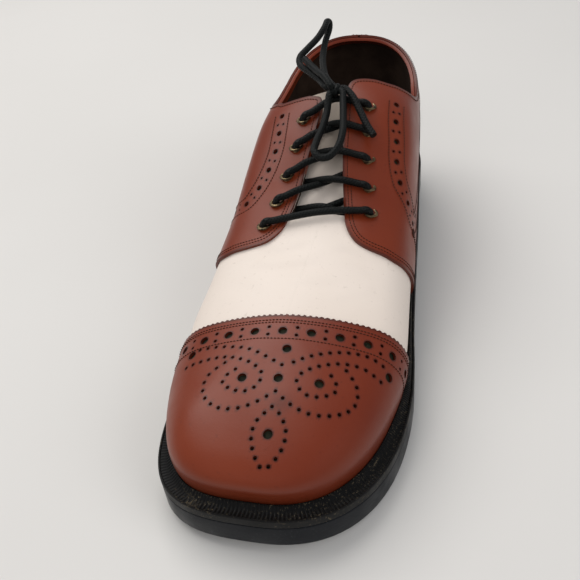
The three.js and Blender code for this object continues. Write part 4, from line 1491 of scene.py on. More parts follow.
def even_columns(s: Array, top: Array, share: float) -> tuple[Array, Array]:
    """Spread columns over s by the length of the sheet's top edge.

    Args:
        s: dense places.
        top: the top edge's t there.
        share: how much the edge's length counts, against even steps of s.

    Returns:
        Shares from 0 to 1, and the places that they stand for.
    """
    edge = LAST.surface(s, top, 0.0)
    steps = np.linalg.norm(np.diff(edge, axis=0), axis=1)
    run = share * steps / steps.sum() + (1 - share) * np.abs(np.diff(s)) / np.abs(np.diff(s)).sum()
    return np.concatenate([[0.0], np.cumsum(run)]) / run.sum(), s


def set_numbers(piece: Piece, name: str, values: Array) -> None:
    """Give a mesh one number a point."""
    layer = piece.data.attributes.get(name) or piece.data.attributes.new(name, "FLOAT", "POINT")
    layer.data.foreach_set("value", np.asarray(values, np.float32))


def get_numbers(piece: Piece, name: str) -> Array:
    """Numbers that a mesh carries at its points."""
    values = np.empty(len(piece.data.vertices), np.float32)
    piece.data.attributes[name].data.foreach_get("value", values)
    return values


def places(piece: Piece) -> Array:
    """Points of a mesh in metres."""
    flat = np.empty(len(piece.data.vertices) * 3)
    piece.data.vertices.foreach_get("co", flat)
    return flat.reshape(-1, 3)


def near(points: Array, spots: Array) -> Array:
    """Distance from each point to the nearest spot, in millimetres."""
    best = np.full(len(points), 1e9)
    for start in range(0, len(spots), 64):
        part = spots[start : start + 64]
        gap = ((points[:, None, :] - part[None, :, :]) ** 2).sum(axis=2)
        best = np.minimum(best, gap.min(axis=1))
    return np.sqrt(best) / MM


def face_out(piece: Piece) -> None:
    """Turn an open sheet's faces away from the middle of the shoe."""
    mesh = bmesh.new()
    mesh.from_mesh(piece.data)
    bmesh.ops.recalc_face_normals(mesh, faces=mesh.faces)
    mesh.faces.ensure_lookup_table()
    score = 0.0
    for face in mesh.faces:
        middle = face.calc_center_median()
        away = Vector((middle.x, 0.0, middle.z - 0.03))
        score += face.normal.dot(away) * face.calc_area()
    if score < 0:
        bmesh.ops.reverse_faces(mesh, faces=mesh.faces)
    mesh.to_mesh(piece.data)
    mesh.free()


@dataclass(frozen=True)
class Stitching:
    """Rows of thread: short raised stitches with even pitch."""

    pitch: float = 1.55
    length: float = 1.2
    width: float = 0.42
    arch: float = 0.18
    end: float = 0.6
    sides: int = 6
    # sections of a stitch: place along it, and share of its width
    sections: tuple[tuple[float, float], ...] = (
        (-0.5, 0.35), (-0.3, 0.9), (0.0, 1.0), (0.3, 0.9), (0.5, 0.35),
    )

    def unit(self) -> tuple[Array, list[list[int]]]:
        """One stitch along X, half sunk in the leather."""
        angle = circle(self.sides)
        rings = []
        for along, size in self.sections:
            arch = self.arch * (1 - (2 * along) ** 2)
            half = self.width / 2
            ring = [
                np.full(self.sides, along * self.length),
                np.cos(angle) * half * size,
                np.sin(angle) * half * size + arch,
            ]
            rings.append(np.stack(ring, axis=1))
        last = (len(rings) - 1) * self.sides
        faces = ring_faces(len(rings), self.sides)
        faces += [list(range(self.sides))[::-1], [last + k for k in range(self.sides)]]
        return np.concatenate(rings) * MM, faces

    def sew(self, name: str, rows: Sequence[Path], kind: Finish, slot: str) -> Piece:
        """Sew rows along paths."""
        spots = []
        for row in rows:
            even = row.spaced(self.pitch, self.end, self.end)
            for point, normal, along in zip(even.points, even.normals, even.tangents()):
                spots.append(basis(point, along, normal))
        piece = copies(name, self.unit(), spots)
        outward(piece)
        dress(piece, kind, slot)
        return piece


@dataclass(frozen=True)
class Punch:
    """Round holes punched through a skin."""

    sides: int = 14

    def cutter(self, holes: Sequence[tuple[Path, float]]) -> Piece:
        """One cutter for holes of several radii, in millimetres."""
        angle = circle(self.sides)
        faces = ring_faces(2, self.sides)
        faces += [list(range(self.sides))[::-1], [self.sides + k for k in range(self.sides)]]
        parts = []
        for path, radius in holes:
            ring = np.stack(
                [np.cos(angle) * radius, np.sin(angle) * radius, np.zeros(self.sides)], axis=1,
            )
            below, above = PUNCH_REACH
            base = np.concatenate([ring - [0, 0, below], ring + [0, 0, above]]) * MM
            spots = [
                basis(p, (0.3, 1, 0.1), n) for p, n in zip(path.points, path.normals)
            ]
            parts.append(copies("punch", (base, faces), spots))
        deselect()
        for part in parts:
            part.select_set(True)
        bpy.context.view_layer.objects.active = parts[0]
        if len(parts) > 1:
            bpy.ops.object.join()
        outward(parts[0])
        return parts[0]

    def darken(
        self, piece: Piece, holes: Sequence[tuple[Path, float]], edges: Sequence[Array],
        reach: float,
    ) -> None:
        """Burnish a piece round its holes and along its edges."""
        points = places(piece)
        burnish_and_shade = np.zeros(len(points))
        for path, radius in holes:
            burnish_and_shade = np.maximum(
                burnish_and_shade, 0.9 * (1 - smoothstep(near(points, path.points), radius, radius + 0.7)),
            )
        for edge in edges:
            burnish_and_shade = np.maximum(burnish_and_shade, 0.75 * (1 - smoothstep(near(points, edge), 0.2, reach)))
        set_numbers(piece, "burnish_and_shade", burnish_and_shade)


def pairs(path: Path, gap: float) -> Path:
    """Two points beside each point of a path, one on each side."""
    one, two = path.beside(gap / 2), path.beside(-gap / 2)
    return Path(
        np.concatenate([one.points, two.points]), np.concatenate([one.normals, two.normals]),
    )


def between(path: Path) -> Path:
    """Points half way between each point of a path and the next."""
    normals = path.normals[:-1] + path.normals[1:]
    return Path(
        (path.points[:-1] + path.points[1:]) / 2,
        normals / np.linalg.norm(normals, axis=1, keepdims=True),
    )


@dataclass
class Quarter:
    """One brown quarter with its facing."""

    side: Side
    columns: int = 330
    rows: int = 84
    hole: float = 1.3
    small: float = 0.55
    pair_gap: float = 3.4
    pitch: float = 10.6
    band: float = 8.6
    band_ends: tuple[float, float] = (1.0, 4.0)
    stitch_rows: tuple[float, float] = (2.3, 3.9)
    seam_half: float = 0.9
    # side seam: how far it runs ahead of the band's turn and behind the front edge (shares of the
    # length), and the t of its foot
    seam_ahead: float = 0.012
    seam_behind: float = 0.022
    seam_foot: float = 0.03
    # points of the rim up the front edge and round the top, and those with a second stitch row
    front_points: int = 160
    top_points: int = 900
    second_row: int = 230
    tack_points: int = 7
    bars: tuple[float, ...] = (-1.6, -0.8, 0.0, 0.8, 1.6)
    burnish_reach: float = 2.2
    corner: float = 0.017
    corner_from: float = 0.87
    # punched band: points in plan before the shift, then (share of the length, t) to the heel
    band_inner: tuple[tuple[float, float], ...] = (
        (-28.6, 41.0), (-28.7, 30.4), (-29.2, 21.6), (-31.7, 12.9), (-35.9, 5.1), (-41.2, -0.6),
    )
    band_outer: tuple[tuple[float, float], ...] = (
        (28.4, 48.5), (29.3, 38.4), (30.6, 29.6), (31.5, 20.9), (33.8, 12.9), (37.4, 8.6),
    )
    tail: tuple[tuple[float, float], ...] = (
        (0.515, 0.400), (0.545, 0.335), (0.60, 0.295), (0.68, 0.285), (0.76, 0.30), (0.84, 0.335),
        (0.93, 0.40),
    )

    @property
    def front(self) -> tuple[tuple[float, float], ...]:
        """Table of the front edge."""
        return LAST.front_inner if self.side is Side.INNER else LAST.front_outer

    def sheet(self, height: float) -> tuple[
        Callable[[Array, Array], Array], Callable[[Array, Array], tuple[Array, Array]],
    ]:
        """The quarter's grid as points, and as places."""
        way = self.side.value
        dense = np.linspace(0.2, NEAR_ONE, 2401)
        top = LAST.leather_top(way * dense, LAST.tread_start)
        edge_t = 0.9
        for _ in range(60):
            begin = float(LAST.walk_of(LAST.column(self.front, 1, np.array(edge_t))))
            edge_t = 0.5 * edge_t + 0.5 * float(np.interp(begin, dense, top))
        begin += self.corner
        edge_t = float(np.interp(begin, dense, top))
        part = dense >= begin
        share, where = even_columns(way * dense[part], top[part], 0.4)

        def lead(v: Array) -> Array:
            """Front edge, its upper corner rounded."""
            late = np.clip((v - self.corner_from) / (1 - self.corner_from), 0, 1)
            edge = LAST.walk_of(LAST.column(self.front, 1, v * edge_t))
            return edge + self.corner * (1 - np.sqrt(1 - late**2))

        def spots(u: Array, v: Array) -> tuple[Array, Array]:
            """Places of the grid."""
            above, reach = way * np.interp(u, share, where), dense[-1] - begin
            mix = u * (1 - v**2) + (above - begin) / reach * v**2
            walk = begin + reach * mix + (lead(v) - lead(np.array(1.0))) * (1 - mix)
            return way * np.minimum(walk, 0.9985), v * np.interp(above, dense, top)

        def place(u: Array, v: Array) -> Array:
            """Points of the grid."""
            return LAST.surface(*spots(u, v), height)

        return place, spots

    def band_path(self) -> Path:
        """Middle line of the punched band."""
        top = self.band_inner if self.side is Side.INNER else self.band_outer
        line = np.array(top, float)
        s, t = LAST.locate(line[:, 0], line[:, 1])
        tail = np.array(self.tail)
        s = np.concatenate([s, self.side.value * LAST.walk_of(tail[:, 0])])
        t = np.concatenate([t, tail[:, 1]])
        even = smooth_line(np.stack([s * 4, t], axis=1), 0.004)
        return Path.on_form(even[:, 0] / 4, even[:, 1], LAST.face)

    def rim(self, spots: Callable[[Array, Array], tuple[Array, Array]]) -> Path:
        """Line up the front edge, along the facing and round the collar."""
        count = self.front_points
        front = spots(np.zeros(count), np.linspace(0.02, 1, count))
        count = self.top_points
        top = spots(np.linspace(0, 1, count)[1:], np.ones(count - 1))
        s, t = np.concatenate([front[0], top[0]]), np.concatenate([front[1], top[1]])
        return Path.on_form(s, t, LAST.face)

    def build(self) -> Piece:
        """Build and dress the quarter."""
        place, spots = self.sheet(LAST.face)
        label = self.side.name.lower()
        piece = grid_sheet(f"quarter_{label}_leather", self.columns, self.rows, place)
        face_out(piece)
        thicken(piece, LAST.overlay, 0.4, 3)
        band = self.band_path()
        big = band.spaced(self.pitch, *self.band_ends)
        small = pairs(between(big), self.pair_gap)
        holes = [(big, self.hole), (small, self.small)]
        cut_with(piece, Punch().cutter(holes))
        rim = self.rim(spots)
        Punch().darken(piece, holes, [rim.points[::4]], self.burnish_reach)
        sharpen(piece, 60)
        dress(piece, Finish.BROWN, "brown_leather", f"quarter_{label}")
        inward = -self.side.value
        rows = [
            rim.beside(inward * self.stitch_rows[0], THREAD_LIFT),
            band.beside(self.band / 2, THREAD_LIFT), band.beside(-self.band / 2, THREAD_LIFT),
        ]
        front = Path(rim.points[: self.second_row], rim.normals[: self.second_row])
        rows.append(front.beside(inward * self.stitch_rows[1], THREAD_LIFT))
        seam = self.side_seam()
        rows += [
            seam.beside(self.seam_half, THREAD_LIFT), seam.beside(-self.seam_half, THREAD_LIFT),
        ]
        Stitching().sew(f"quarter_{label}_stitches", rows, Finish.THREAD_DARK, "brown_leather")
        tack = Path(seam.points[: self.tack_points], seam.normals[: self.tack_points])
        bars = [tack.beside(offset, 0.05) for offset in self.bars]
        Stitching(pitch=0.9, length=1.1, width=0.5).sew(
            f"quarter_{label}_tack", bars, Finish.THREAD_DARK, "brown_leather",
        )
        return piece

    def side_seam(self) -> Path:
        """Line from the band's turn down to the front corner at the welt."""
        start = self.tail[0]
        foot = float(LAST.column(self.front, 1, np.array(0.0))) + self.seam_behind
        share = np.linspace(0, 1, 60)
        at = start[0] - self.seam_ahead + (foot - start[0] + self.seam_ahead) * share
        t = start[1] * (1 - share) + self.seam_foot * share
        return Path.on_form(self.side.value * LAST.walk_of(at), t, LAST.face)


@dataclass
class BackStay:
    """Narrow strip over the quarters' seam at the heel, with a stitch row on each side."""

    half: float = 0.015
    thick: float = 0.7
    columns: int = 24
    rows: int = 90

    def build(self) -> Piece:
        """Build and dress the strip."""
        top = float(LAST.leather_top(np.array([NEAR_ONE]), LAST.tread_start)[0])
        height = LAST.face + self.thick

        def place(u: Array, v: Array) -> Array:
            """Grid of the strip."""
            across = (2 * u - 1) * self.half
            s = np.where(across < 0, -1, 1) * np.minimum(1 - np.abs(across), NEAR_ONE)
            return LAST.surface(s, v * (top - 0.02), height)

        piece = grid_sheet("back_stay_leather", self.columns, self.rows, place)
        face_out(piece)
        thicken(piece, self.thick, 0.3, 2)
        dress(piece, Finish.BROWN, "brown_leather")
        t = np.linspace(0.02, top * 0.97, 200)
        rows = []
        for way in (-1, 1):
            s = np.full(len(t), way * (1 - self.half * 0.75))
            rows.append(Path.on_form(s, t, height + THREAD_LIFT))
        Stitching().sew("back_stay_stitches", rows, Finish.THREAD_DARK, "brown_leather")
        return piece


@dataclass
class ToeCap:
    """The brown toe cap with its pinked edge."""

    columns: int = 260
    rows: int = 110
    span: float = 0.36
    tooth: float = 2.5
    tooth_depth: float = 0.8
    big: float = 1.95
    small: float = 0.78
    pitch: float = 4.1
    stitch_rows: tuple[float, ...] = (2.9, 4.3, 13.2)
    # the band of big holes: its distance behind the edge, its pitch, its plain ends, its pairs' gap
    band: float = 8.9
    band_pitch: float = 12.0
    band_end: float = 14.0
    pair_gap: float = 4.2
    burnish_reach: float = 1.6
    # the edge's cutter fans out from a point in the section at this share of the length
    cut_at: float = 0.28
    cut_height: float = 20.0
    cut_radii: tuple[float, float] = (6.0, 100.0)
    cut_back: float = 60.0
    spots: tuple[tuple[float, float], ...] = (
        (-1.9, -89.0), (-17.9, -104.4), (-2.7, -103.1), (14.0, -102.6), (-2.3, -126.3),
        (-45.2, -89.3), (39.6, -86.4),
    )
    # the smudge's place in plan and its radius, and how dark it is and how dark the painted shade
    # at the toe's foot is
    smudge: tuple[float, float, float] = (0.5, -114.0, 4.5)
    smudge_wear: float = 0.42
    toe_shade: float = 0.30
    # medallion: lines of small holes through points in plan, before the shift
    lines: tuple[tuple[tuple[float, float], ...], ...] = (
        (
            (-41.8, -87.6), (-33.9, -87.8), (-26.3, -88.7), (-18.6, -90.3), (-9.2, -93.9),
            (-2.4, -97.0),
        ),
        ((2.1, -95.1), (8.4, -90.8), (15.8, -86.9), (23.2, -84.3), (31.4, -82.9), (37.0, -83.6)),
        (
            (-46.1, -95.6), (-38.1, -94.4), (-29.1, -93.9), (-20.7, -95.5), (-14.0, -98.1),
            (-10.2, -101.5),
            (-10.5, -106.4), (-13.8, -109.7), (-18.4, -110.4), (-22.6, -109.4), (-25.8, -106.9),
            (-25.0, -103.8),
            (-21.6, -100.6),
        ),
        (
            (36.9, -91.0), (29.6, -89.5), (21.4, -90.6), (13.5, -94.1), (6.5, -99.3), (4.9, -102.4),
            (5.9, -105.6),
            (8.9, -108.4), (13.4, -108.8), (17.7, -107.1), (20.7, -104.2), (20.5, -100.7),
            (18.0, -97.6),
        ),
        (
            (-27.2, -97.1), (-32.9, -102.1), (-34.1, -107.0), (-32.5, -112.9), (-26.1, -117.7),
            (-17.6, -117.8),
            (-9.3, -114.1), (-2.6, -109.0),
        ),
        (
            (23.5, -93.1), (28.3, -98.6), (29.3, -104.0), (27.7, -109.1), (21.7, -114.3),
            (12.7, -116.3),
            (4.2, -113.7), (0.9, -111.6),
        ),
        (
            (-2.7, -115.6), (-8.3, -122.8), (-8.2, -130.6), (-2.0, -138.5), (3.9, -131.8),
            (4.4, -123.6), (0.6, -117.9),
        ),
    )

    def build(self) -> Piece:
        """Build and dress the toe cap."""

        def place(u: Array, v: Array) -> Array:
            """Grid of the dome."""
            return LAST.surface(-self.span + 2 * self.span * u, v, LAST.face)

        piece = grid_sheet("toe_cap_leather", self.columns, self.rows, place)
        merge_doubles(piece, 0.03)
        face_out(piece)
        thicken(piece, LAST.overlay)
        cut_with(piece, self.edge_cutter())
        holes = self.holes()
        cut_with(piece, Punch().cutter(holes))
        edge = Path.across_cap(0.0, LAST.face)
        Punch().darken(piece, holes, [edge.points[::4]], self.burnish_reach)
        self.age(piece)
        sharpen(piece, 60)
        dress(piece, Finish.BROWN, "brown_leather", "toe_cap")
        rows = [Path.across_cap(back, LAST.face + THREAD_LIFT) for back in self.stitch_rows]
        Stitching().sew("toe_cap_stitches", rows, Finish.THREAD_DARK, "brown_leather")
        return piece

    def age(self, piece: Piece) -> None:
        """Paint shade low on the toe, where the polish reflects less light, and leave a smudge in
        the medallion.
        """
        points = places(piece)
        # painted shade low on the toe cap, darkest at the welt
        low = 1 - smoothstep(points[:, 2] / MM - LAST.welt_top(points[:, 1] / MM), 2.0, 15.0)
        spot = LAST.surface(*LAST.locate([self.smudge[0]], [self.smudge[1]]), LAST.overlay)
        dirt = np.exp(-((near(points, spot) / self.smudge[2]) ** 2))
        wear_and_shade = np.maximum(self.toe_shade * low, self.smudge_wear * dirt)
        set_numbers(piece, "burnish_and_shade", np.maximum(get_numbers(piece, "burnish_and_shade"), wear_and_shade))

    def holes(self) -> list[tuple[Path, float]]:
        """All holes with their radii."""
        height = LAST.face
        band = Path.across_cap(self.band, height)
        big = band.spaced(self.band_pitch, self.band_end, self.band_end)
        small = pairs(between(big), self.pair_gap)
        marks = np.array(self.spots)
        medallion = Path.on_form(*LAST.locate(marks[:, 0], marks[:, 1]), height)
        holes = [(big, self.big), (small, self.small), (medallion, self.big)]
        holes += [
            (Path.over_plan(line, height).spaced(self.pitch), self.small) for line in self.lines
        ]
        return holes

    def edge_cutter(self) -> Piece:
        """Everything behind the cap's zigzag edge."""
        walk = float(LAST.walk_of(np.array(self.cut_at)))
        count = 400
        t = np.concatenate([np.linspace(0, 1, count), np.linspace(1, 0, count)[1:]])
        s = np.concatenate([np.full(count, -walk), np.full(count - 1, walk)])
        line = LAST.skin(s, t)
        centre = np.array([float(LAST.ridge_x(np.array(self.cut_at))), self.cut_height])
        arc = np.concatenate([[0], np.cumsum(np.hypot(np.diff(line[:, 0]), np.diff(line[:, 2])))])
        teeth = int(round(arc[-1] / self.tooth))
        at = np.linspace(0, arc[-1], 2 * teeth + 1)
        x, z = np.interp(at, arc, line[:, 0]), np.interp(at, arc, line[:, 2])
        y = LAST.cap_line(x) + np.where(np.arange(len(at)) % 2 == 0, -0.5, 0.5) * self.tooth_depth
        away = np.stack([x - centre[0], z - centre[1]], axis=1)
        away /= np.linalg.norm(away, axis=1, keepdims=True)
        first = np.array([[-0.8, -0.6]])
        last = np.array([[0.8, -0.6]])
        away = np.concatenate([first, away, last])
        y = np.concatenate([y[:1], y, y[-1:]])
        rings = []
        close, far = self.cut_radii
        for radius, back in ((close, False), (far, False), (far, True), (close, True)):
            spot = centre + away * radius
            depth = np.full(len(y), self.cut_back) if back else y
            rings.append(np.stack([spot[:, 0], depth, spot[:, 1]], axis=1))
        count = len(y)
        faces = []
        for j in range(4):
            n = (j + 1) % 4
            for k in range(j * count, j * count + count - 1):
                across = (n - j) * count + k
                faces.append([k, k + 1, across + 1, across])
        faces += [
            [0, count, 2 * count, 3 * count],
            [count - 1, 2 * count - 1, 3 * count - 1, 4 * count - 1],
        ]
        cutter = mesh_piece("cap_cutter", LAST.metres(np.concatenate(rings)), faces, False)
        outward(cutter)
        return cutter


def cut_with(piece: Piece, cutter: Piece) -> None:
    """Cut one piece with another, which is then gone."""
    modifier = piece.modifiers.new("cut", "BOOLEAN")
    modifier.operation = "DIFFERENCE"
    modifier.solver = "MANIFOLD"
    modifier.object = cutter
    apply_modifiers(piece)
    piece.data.materials.clear()
    piece.data.polygons.foreach_set("material_index", np.zeros(len(piece.data.polygons), np.int32))
    bpy.data.objects.remove(cutter, do_unlink=True)


@dataclass
class Tongue:
    """White tongue under the laces."""

    columns: int = 120
    rows: int = 60
    front: float = 0.385
    back: float = 0.695
    sink_end: float = 0.440
    corner_from: float = 0.875
    corner: float = 0.12
    width: float = 50.0
    thickness: float = 2.4
    lace: float = 3.5
    # painted shade on the tongue towards the throat, where the knot and the facings shade it: how
    # dark, and the shares of the length where it starts and is full
    painted_shade: float = 0.75
    shade_from: float = 0.50
    shade_full: float = 0.60

    def build(self) -> Piece:
        """Build and dress the tongue."""
        depth = LAST.wall + 3 * LAST.gap + self.lace

        def place(u: Array, v: Array) -> Array:
            """Grid of the tongue."""
            at = self.front + (self.back - self.front) * u
            across = 2 * v - 1
            late = np.clip(u - self.corner_from, 0, None) / (1 - self.corner_from)
            reach = self.width / 2 * (1 - self.corner * late**2)
            s = np.where(across < 0, -1, 1) * LAST.walk_of(at)
            t = LAST.t_over(s, LAST.ridge_x(at) + across * reach)
            sunk = smoothstep(at, self.front, self.sink_end)
            sink = (LAST.wall + LAST.gap) * (1 - sunk) + depth * sunk
            return LAST.surface(s, t, -sink)

        piece = grid_sheet("tongue_leather", self.columns, self.rows, place)
        face_out(piece)
        thicken(piece, self.thickness, 0.6, 3)
        # painted shade: the tongue darkens towards the knot, where it lies in shadow
        far = LAST.share_y(places(piece)[:, 1] / MM)
        set_numbers(
            piece, "burnish_and_shade", self.painted_shade * smoothstep(far, self.shade_from, self.shade_full),
        )
        dress(piece, Finish.WHITE, "white_leather", "tongue")
        return piece


@dataclass
class Eyelets:
    """Ten crowned brass eyelets."""

    bore: float = 2.3
    wall: float = 0.4
    rim: float = 3.9
    crown: float = 0.75
    sides: int = 40
    inner: tuple[tuple[float, float], ...] = (
        (0.444, 1.07), (0.486, 0.92), (0.528, 0.80), (0.570, 0.69), (0.612, 0.615),
    )
    outer: tuple[tuple[float, float], ...] = (
        (0.476, 0.85), (0.515, 0.765), (0.554, 0.70), (0.593, 0.65), (0.632, 0.61),
    )

    @property
    def seat(self) -> float:
        """Height of the rim's underside over the form."""
        return LAST.face + 1.4 * LAST.gap

    def place(self, side: Side, index: int) -> tuple[float, float]:
        """Share of the length, and X as a signed share of the throat's width."""
        at, across = (self.inner if side is Side.INNER else self.outer)[index]
        return at, side.value * across

    def unit(self) -> tuple[Array, list[list[int]]]:
        """Profile turned round Z: barrel, rim and crown."""
        low, seat, out = -LAST.wall - LAST.gap / 2, self.seat, self.bore + self.wall
        top = seat + self.crown
        profile = [
            (self.bore, low), (out, low), (out, seat), (self.rim - 0.15, seat),
            (self.rim, seat + 0.15),
            (self.rim - 0.12, seat + 0.38), (self.rim - 0.5, seat + 0.62),
            (self.rim - 0.95, top - 0.02),
            (self.bore + 0.35, top - 0.06), (self.bore + 0.1, top - 0.2), (self.bore, top - 0.45),
        ]
        angle = circle(self.sides)
        rings = [
            np.stack([r * np.cos(angle), r * np.sin(angle), np.full(self.sides, h)], axis=1) for r,
            h in profile
        ]
        return np.concatenate(rings) * MM, ring_faces(len(profile), self.sides, around=True)

    def build(self) -> list[Piece]:
        """Build and dress the eyelets."""
        pieces = []
        for side in Side:
            for index in range(len(self.inner)):
                at, across = self.place(side, index)
                low = LAST.over_throat(at, across, 0.0)
                high = LAST.over_throat(at, across, 1.0)
                place = basis(low, (0, 1, 0), high - low)
                name = f"eyelet_{side.name.lower()}_{index + 1}"
                piece = copies(f"{name}_ring", self.unit(), [place])
                outward(piece)
                sharpen(piece, 50)
                dress(piece, Finish.BRASS, "brass", name)
                pieces.append(piece)
        return pieces


@dataclass
class Lacing:
    """The lace's straight bar, its crossings, and the bow."""

    eyelets: Eyelets
    width: float = 3.5
    knot: tuple[float, float, float] = (0.637, -0.03, 3.9)
    knot_size: tuple[float, float, float] = (8.4, 7.0, 5.4)
    knot_inset: tuple[float, float, float] = (2.6, 1.3, 1.2)
    knot_turns: float = 2.15
    knot_points: int = 90
    tuck: float = 0.35
    bow: dict[str, tuple[tuple[float, float, float], ...]] = field(default_factory=lambda: {
        "lace_loop_back": (
            (-4.4, 1.9, 0.9), (-8.8, 9, 0.9), (-15.2, 16, 1.8), (-22.2, 24, 2.6), (-23.5, 30, 4),
            (-20.3, 37, 6.1),
            (-16.1, 44.5, 8.8), (-13.5, 50.5, 11.9), (-12.9, 56.2, 13), (-12.2, 58.2, 11.8),
            (-11.8, 56, 9.6),
            (-13, 48, 4.9), (-12.2, 35, 1), (-8.5, 20, -0.6), (-4.6, 9.2, 0.6), (-1.9, 3.7, 1.2),
        ),
        "lace_loop_front": (
            (4.4, -1.9, 0.2), (5.8, -8.5, -2.2), (7.5, -19, -5.3), (8.5, -28, -8),
            (7.5, -36, -11.1), (4, -41, -13.6),
            (-0.3, -42, -13.8), (-3.3, -39.5, -12.2), (-3.8, -31, -11.4), (-2.8, -20, -9.7),
            (-2.1, -10.5, -6.4),
            (-1.6, -3.7, -0.2),
        ),
        "lace_end_1": (
            (-1, -1.6, 2.8), (-5.6, 4.6, 5.2), (-10.8, 11.5, 5), (-17.6, 20.5, 6),
            (-19.4, 22.7, 6.4),
        ),
        "lace_end_2": (
            (4.8, 1.6, 0.2), (9.2, -2.2, -1.4), (14.2, -9.5, -6), (18.6, -16.5, -10.2),
            (22.5, -21.5, -13),
        ),
    })

    @property
    def depth(self) -> float:
        """Depth of the lace under the facing."""
        return LAST.wall + 2 * LAST.gap + self.width / 2

    def above(self) -> list[tuple[float, float]]:
        """End of a strand that goes down into its eyelet."""
        half, rim = self.width / 2, self.eyelets.seat + self.eyelets.crown
        return [
            (0, LAST.gap / 2), (0, rim), (0.6, rim + 1.2), (2.2, rim + LAST.gap + half + 0.15),
            (4.8, LAST.face + LAST.gap + half + 0.5),
        ]

    def below(self) -> list[tuple[float, float]]:
        """End of a strand that comes up through its eyelet."""
        return [
            (0, -LAST.gap / 2), (0, -self.depth + 1.7), (1.1, -self.depth + 0.4), (3, -self.depth),
        ]

    def edge(self, side: Side, at: float) -> float:
        """Edge of a facing as a share of the throat's width."""
        return side.value * float(
            LAST.column(LAST.throat, 1 if side is Side.INNER else 2, np.array(at))
        )

    def strand(
        self, start: tuple[Side, int, bool], end: tuple[Side, int, bool], middle: float,
    ) -> Array:
        """Line of one strand.

        Args:
            start: side, eyelet, and whether it leaves over the facing.
            end: the same for its other end.
            middle: height over the form half way.

        Returns:
            Points in metres.
        """
        a, b = self.eyelets.place(*start[:2]), self.eyelets.place(*end[:2])
        reach = math.hypot((b[0] - a[0]) * LAST.length, (b[1] - a[1]) * LAST.throat_width)

        def between(share: float, height: float) -> Array:
            """Point on the way."""
            at, across = a[0] + (b[0] - a[0]) * share, a[1] + (b[1] - a[1]) * share
            return LAST.over_throat(at, across, height)

        def crossing(side: Side, over_it: bool, share: float) -> Array:
            """Point at a facing's edge."""
            where = (self.edge(side, a[0] + (b[0] - a[0]) * share) - a[1]) / (b[1] - a[1])
            clear = LAST.face + LAST.gap + self.width / 2 + 0.1
            return between(where, clear if over_it else -self.depth)

        points = [
            between(along / reach, height)
            for along, height in (self.above() if start[2] else self.below())
        ]
        points += [
            crossing(start[0], start[2], 0.25), between(0.5, middle),
            crossing(end[0], end[2], 0.75),
        ]
        tail = self.above() if end[2] else self.below()
        points += [between(1 - along / reach, height) for along, height in tail[::-1]]
        return np.array(points)

    def lay(self, name: str, points: Array, *nodes: str) -> Piece:
        """One stretch of lace."""
        return self.cord(name, smooth_line(points / MM, 0.55) * MM, *nodes)

    def cord(self, name: str, path: Array, *nodes: str) -> Piece:
        """Lace along a fine path in metres."""
        piece = tube(name, path, self.width / 2)
        sharpen(piece, 60)
        dress(piece, Finish.LACE, "lace", *nodes)
        return piece

    def knot_place(self) -> Array:
        """Middle of the knot in metres."""
        at, across, height = self.knot
        base = LAST.over_throat(at, across, height)
        return base + np.array([0, 0, (self.width / 2 + LAST.gap + self.knot_size[2] / 2) * MM])

    def build_bow(self) -> list[Piece]:
        """Loops and ends of the bow, built as cords."""
        middle = self.knot_place()
        pieces = []
        for name, line in self.bow.items():
            whole = [np.array(line[0]) * self.tuck, *line]
            whole += [np.array(line[-1]) * self.tuck] if "loop" in name else []
            path = smooth_line(np.array(whole), 0.6) * MM + middle
            piece = self.cord(f"{name}_cord", path, name)
            far = "object" if "loop" in name else "bare"
            tuple(path[0])
            [tuple(p) for p in path]
            pieces.append(piece)
        return pieces

    def build_knot(self) -> Piece:
        """The knot: a wrap of lace over two turns."""
        middle = self.knot_place()
        half = np.array(self.knot_size) / 2 - np.array(self.knot_inset)
        turns = np.linspace(0, 1, self.knot_points)
        angle = turns * 2 * math.pi * self.knot_turns
        x = (turns - 0.5) * 2 * half[0]
        line = np.stack([x, half[1] * np.sin(angle), half[2] * np.cos(angle)], axis=1)
        return self.cord("lace_knot_wrap", line * MM + middle, "lace_knot")

    def build(self) -> None:
        """Build the bar and the crossings."""
        top = LAST.face + LAST.gap + self.width / 2
        self.lay(
            "lace_bar_cord", self.strand((Side.INNER, 0, True), (Side.OUTER, 0, True), top),
            "lace_bar",
        )
        heights = ((-4.0, -1.0), (-1.8, 1.3), (-1.8, 1.3), (-1.8, 1.3))
        for i, (low, high) in enumerate(heights):
            over = i > 0
            node = f"lace_crossing_{i + 1}"
            self.lay(
                f"{node}_lower",
                self.strand((Side.INNER, i, over), (Side.OUTER, i + 1, False), low), node,
            )
            self.lay(
                f"{node}_upper",
                self.strand((Side.OUTER, i, over), (Side.INNER, i + 1, False), high), node,
            )
        points = []
        for side in Side:
            a = self.eyelets.place(side, 4)
            reach = math.hypot(
                (self.knot[0] - a[0]) * LAST.length, (self.knot[1] - a[1]) * LAST.throat_width,
            )
            for along, height in self.above() if side is Side.INNER else self.above()[::-1]:
                share = along / reach
                at = a[0] + (self.knot[0] - a[0]) * share
                across = a[1] + (self.knot[1] - a[1]) * share
                points.append(LAST.over_throat(at, across, height))
            if side is Side.INNER:
                points.append(LAST.over_throat(self.knot[0], self.knot[1], self.knot[2]))
        self.lay("lace_crossing_5_cord", np.array(points), "lace_crossing_5")


# ---------------------------------------------------------------- studio


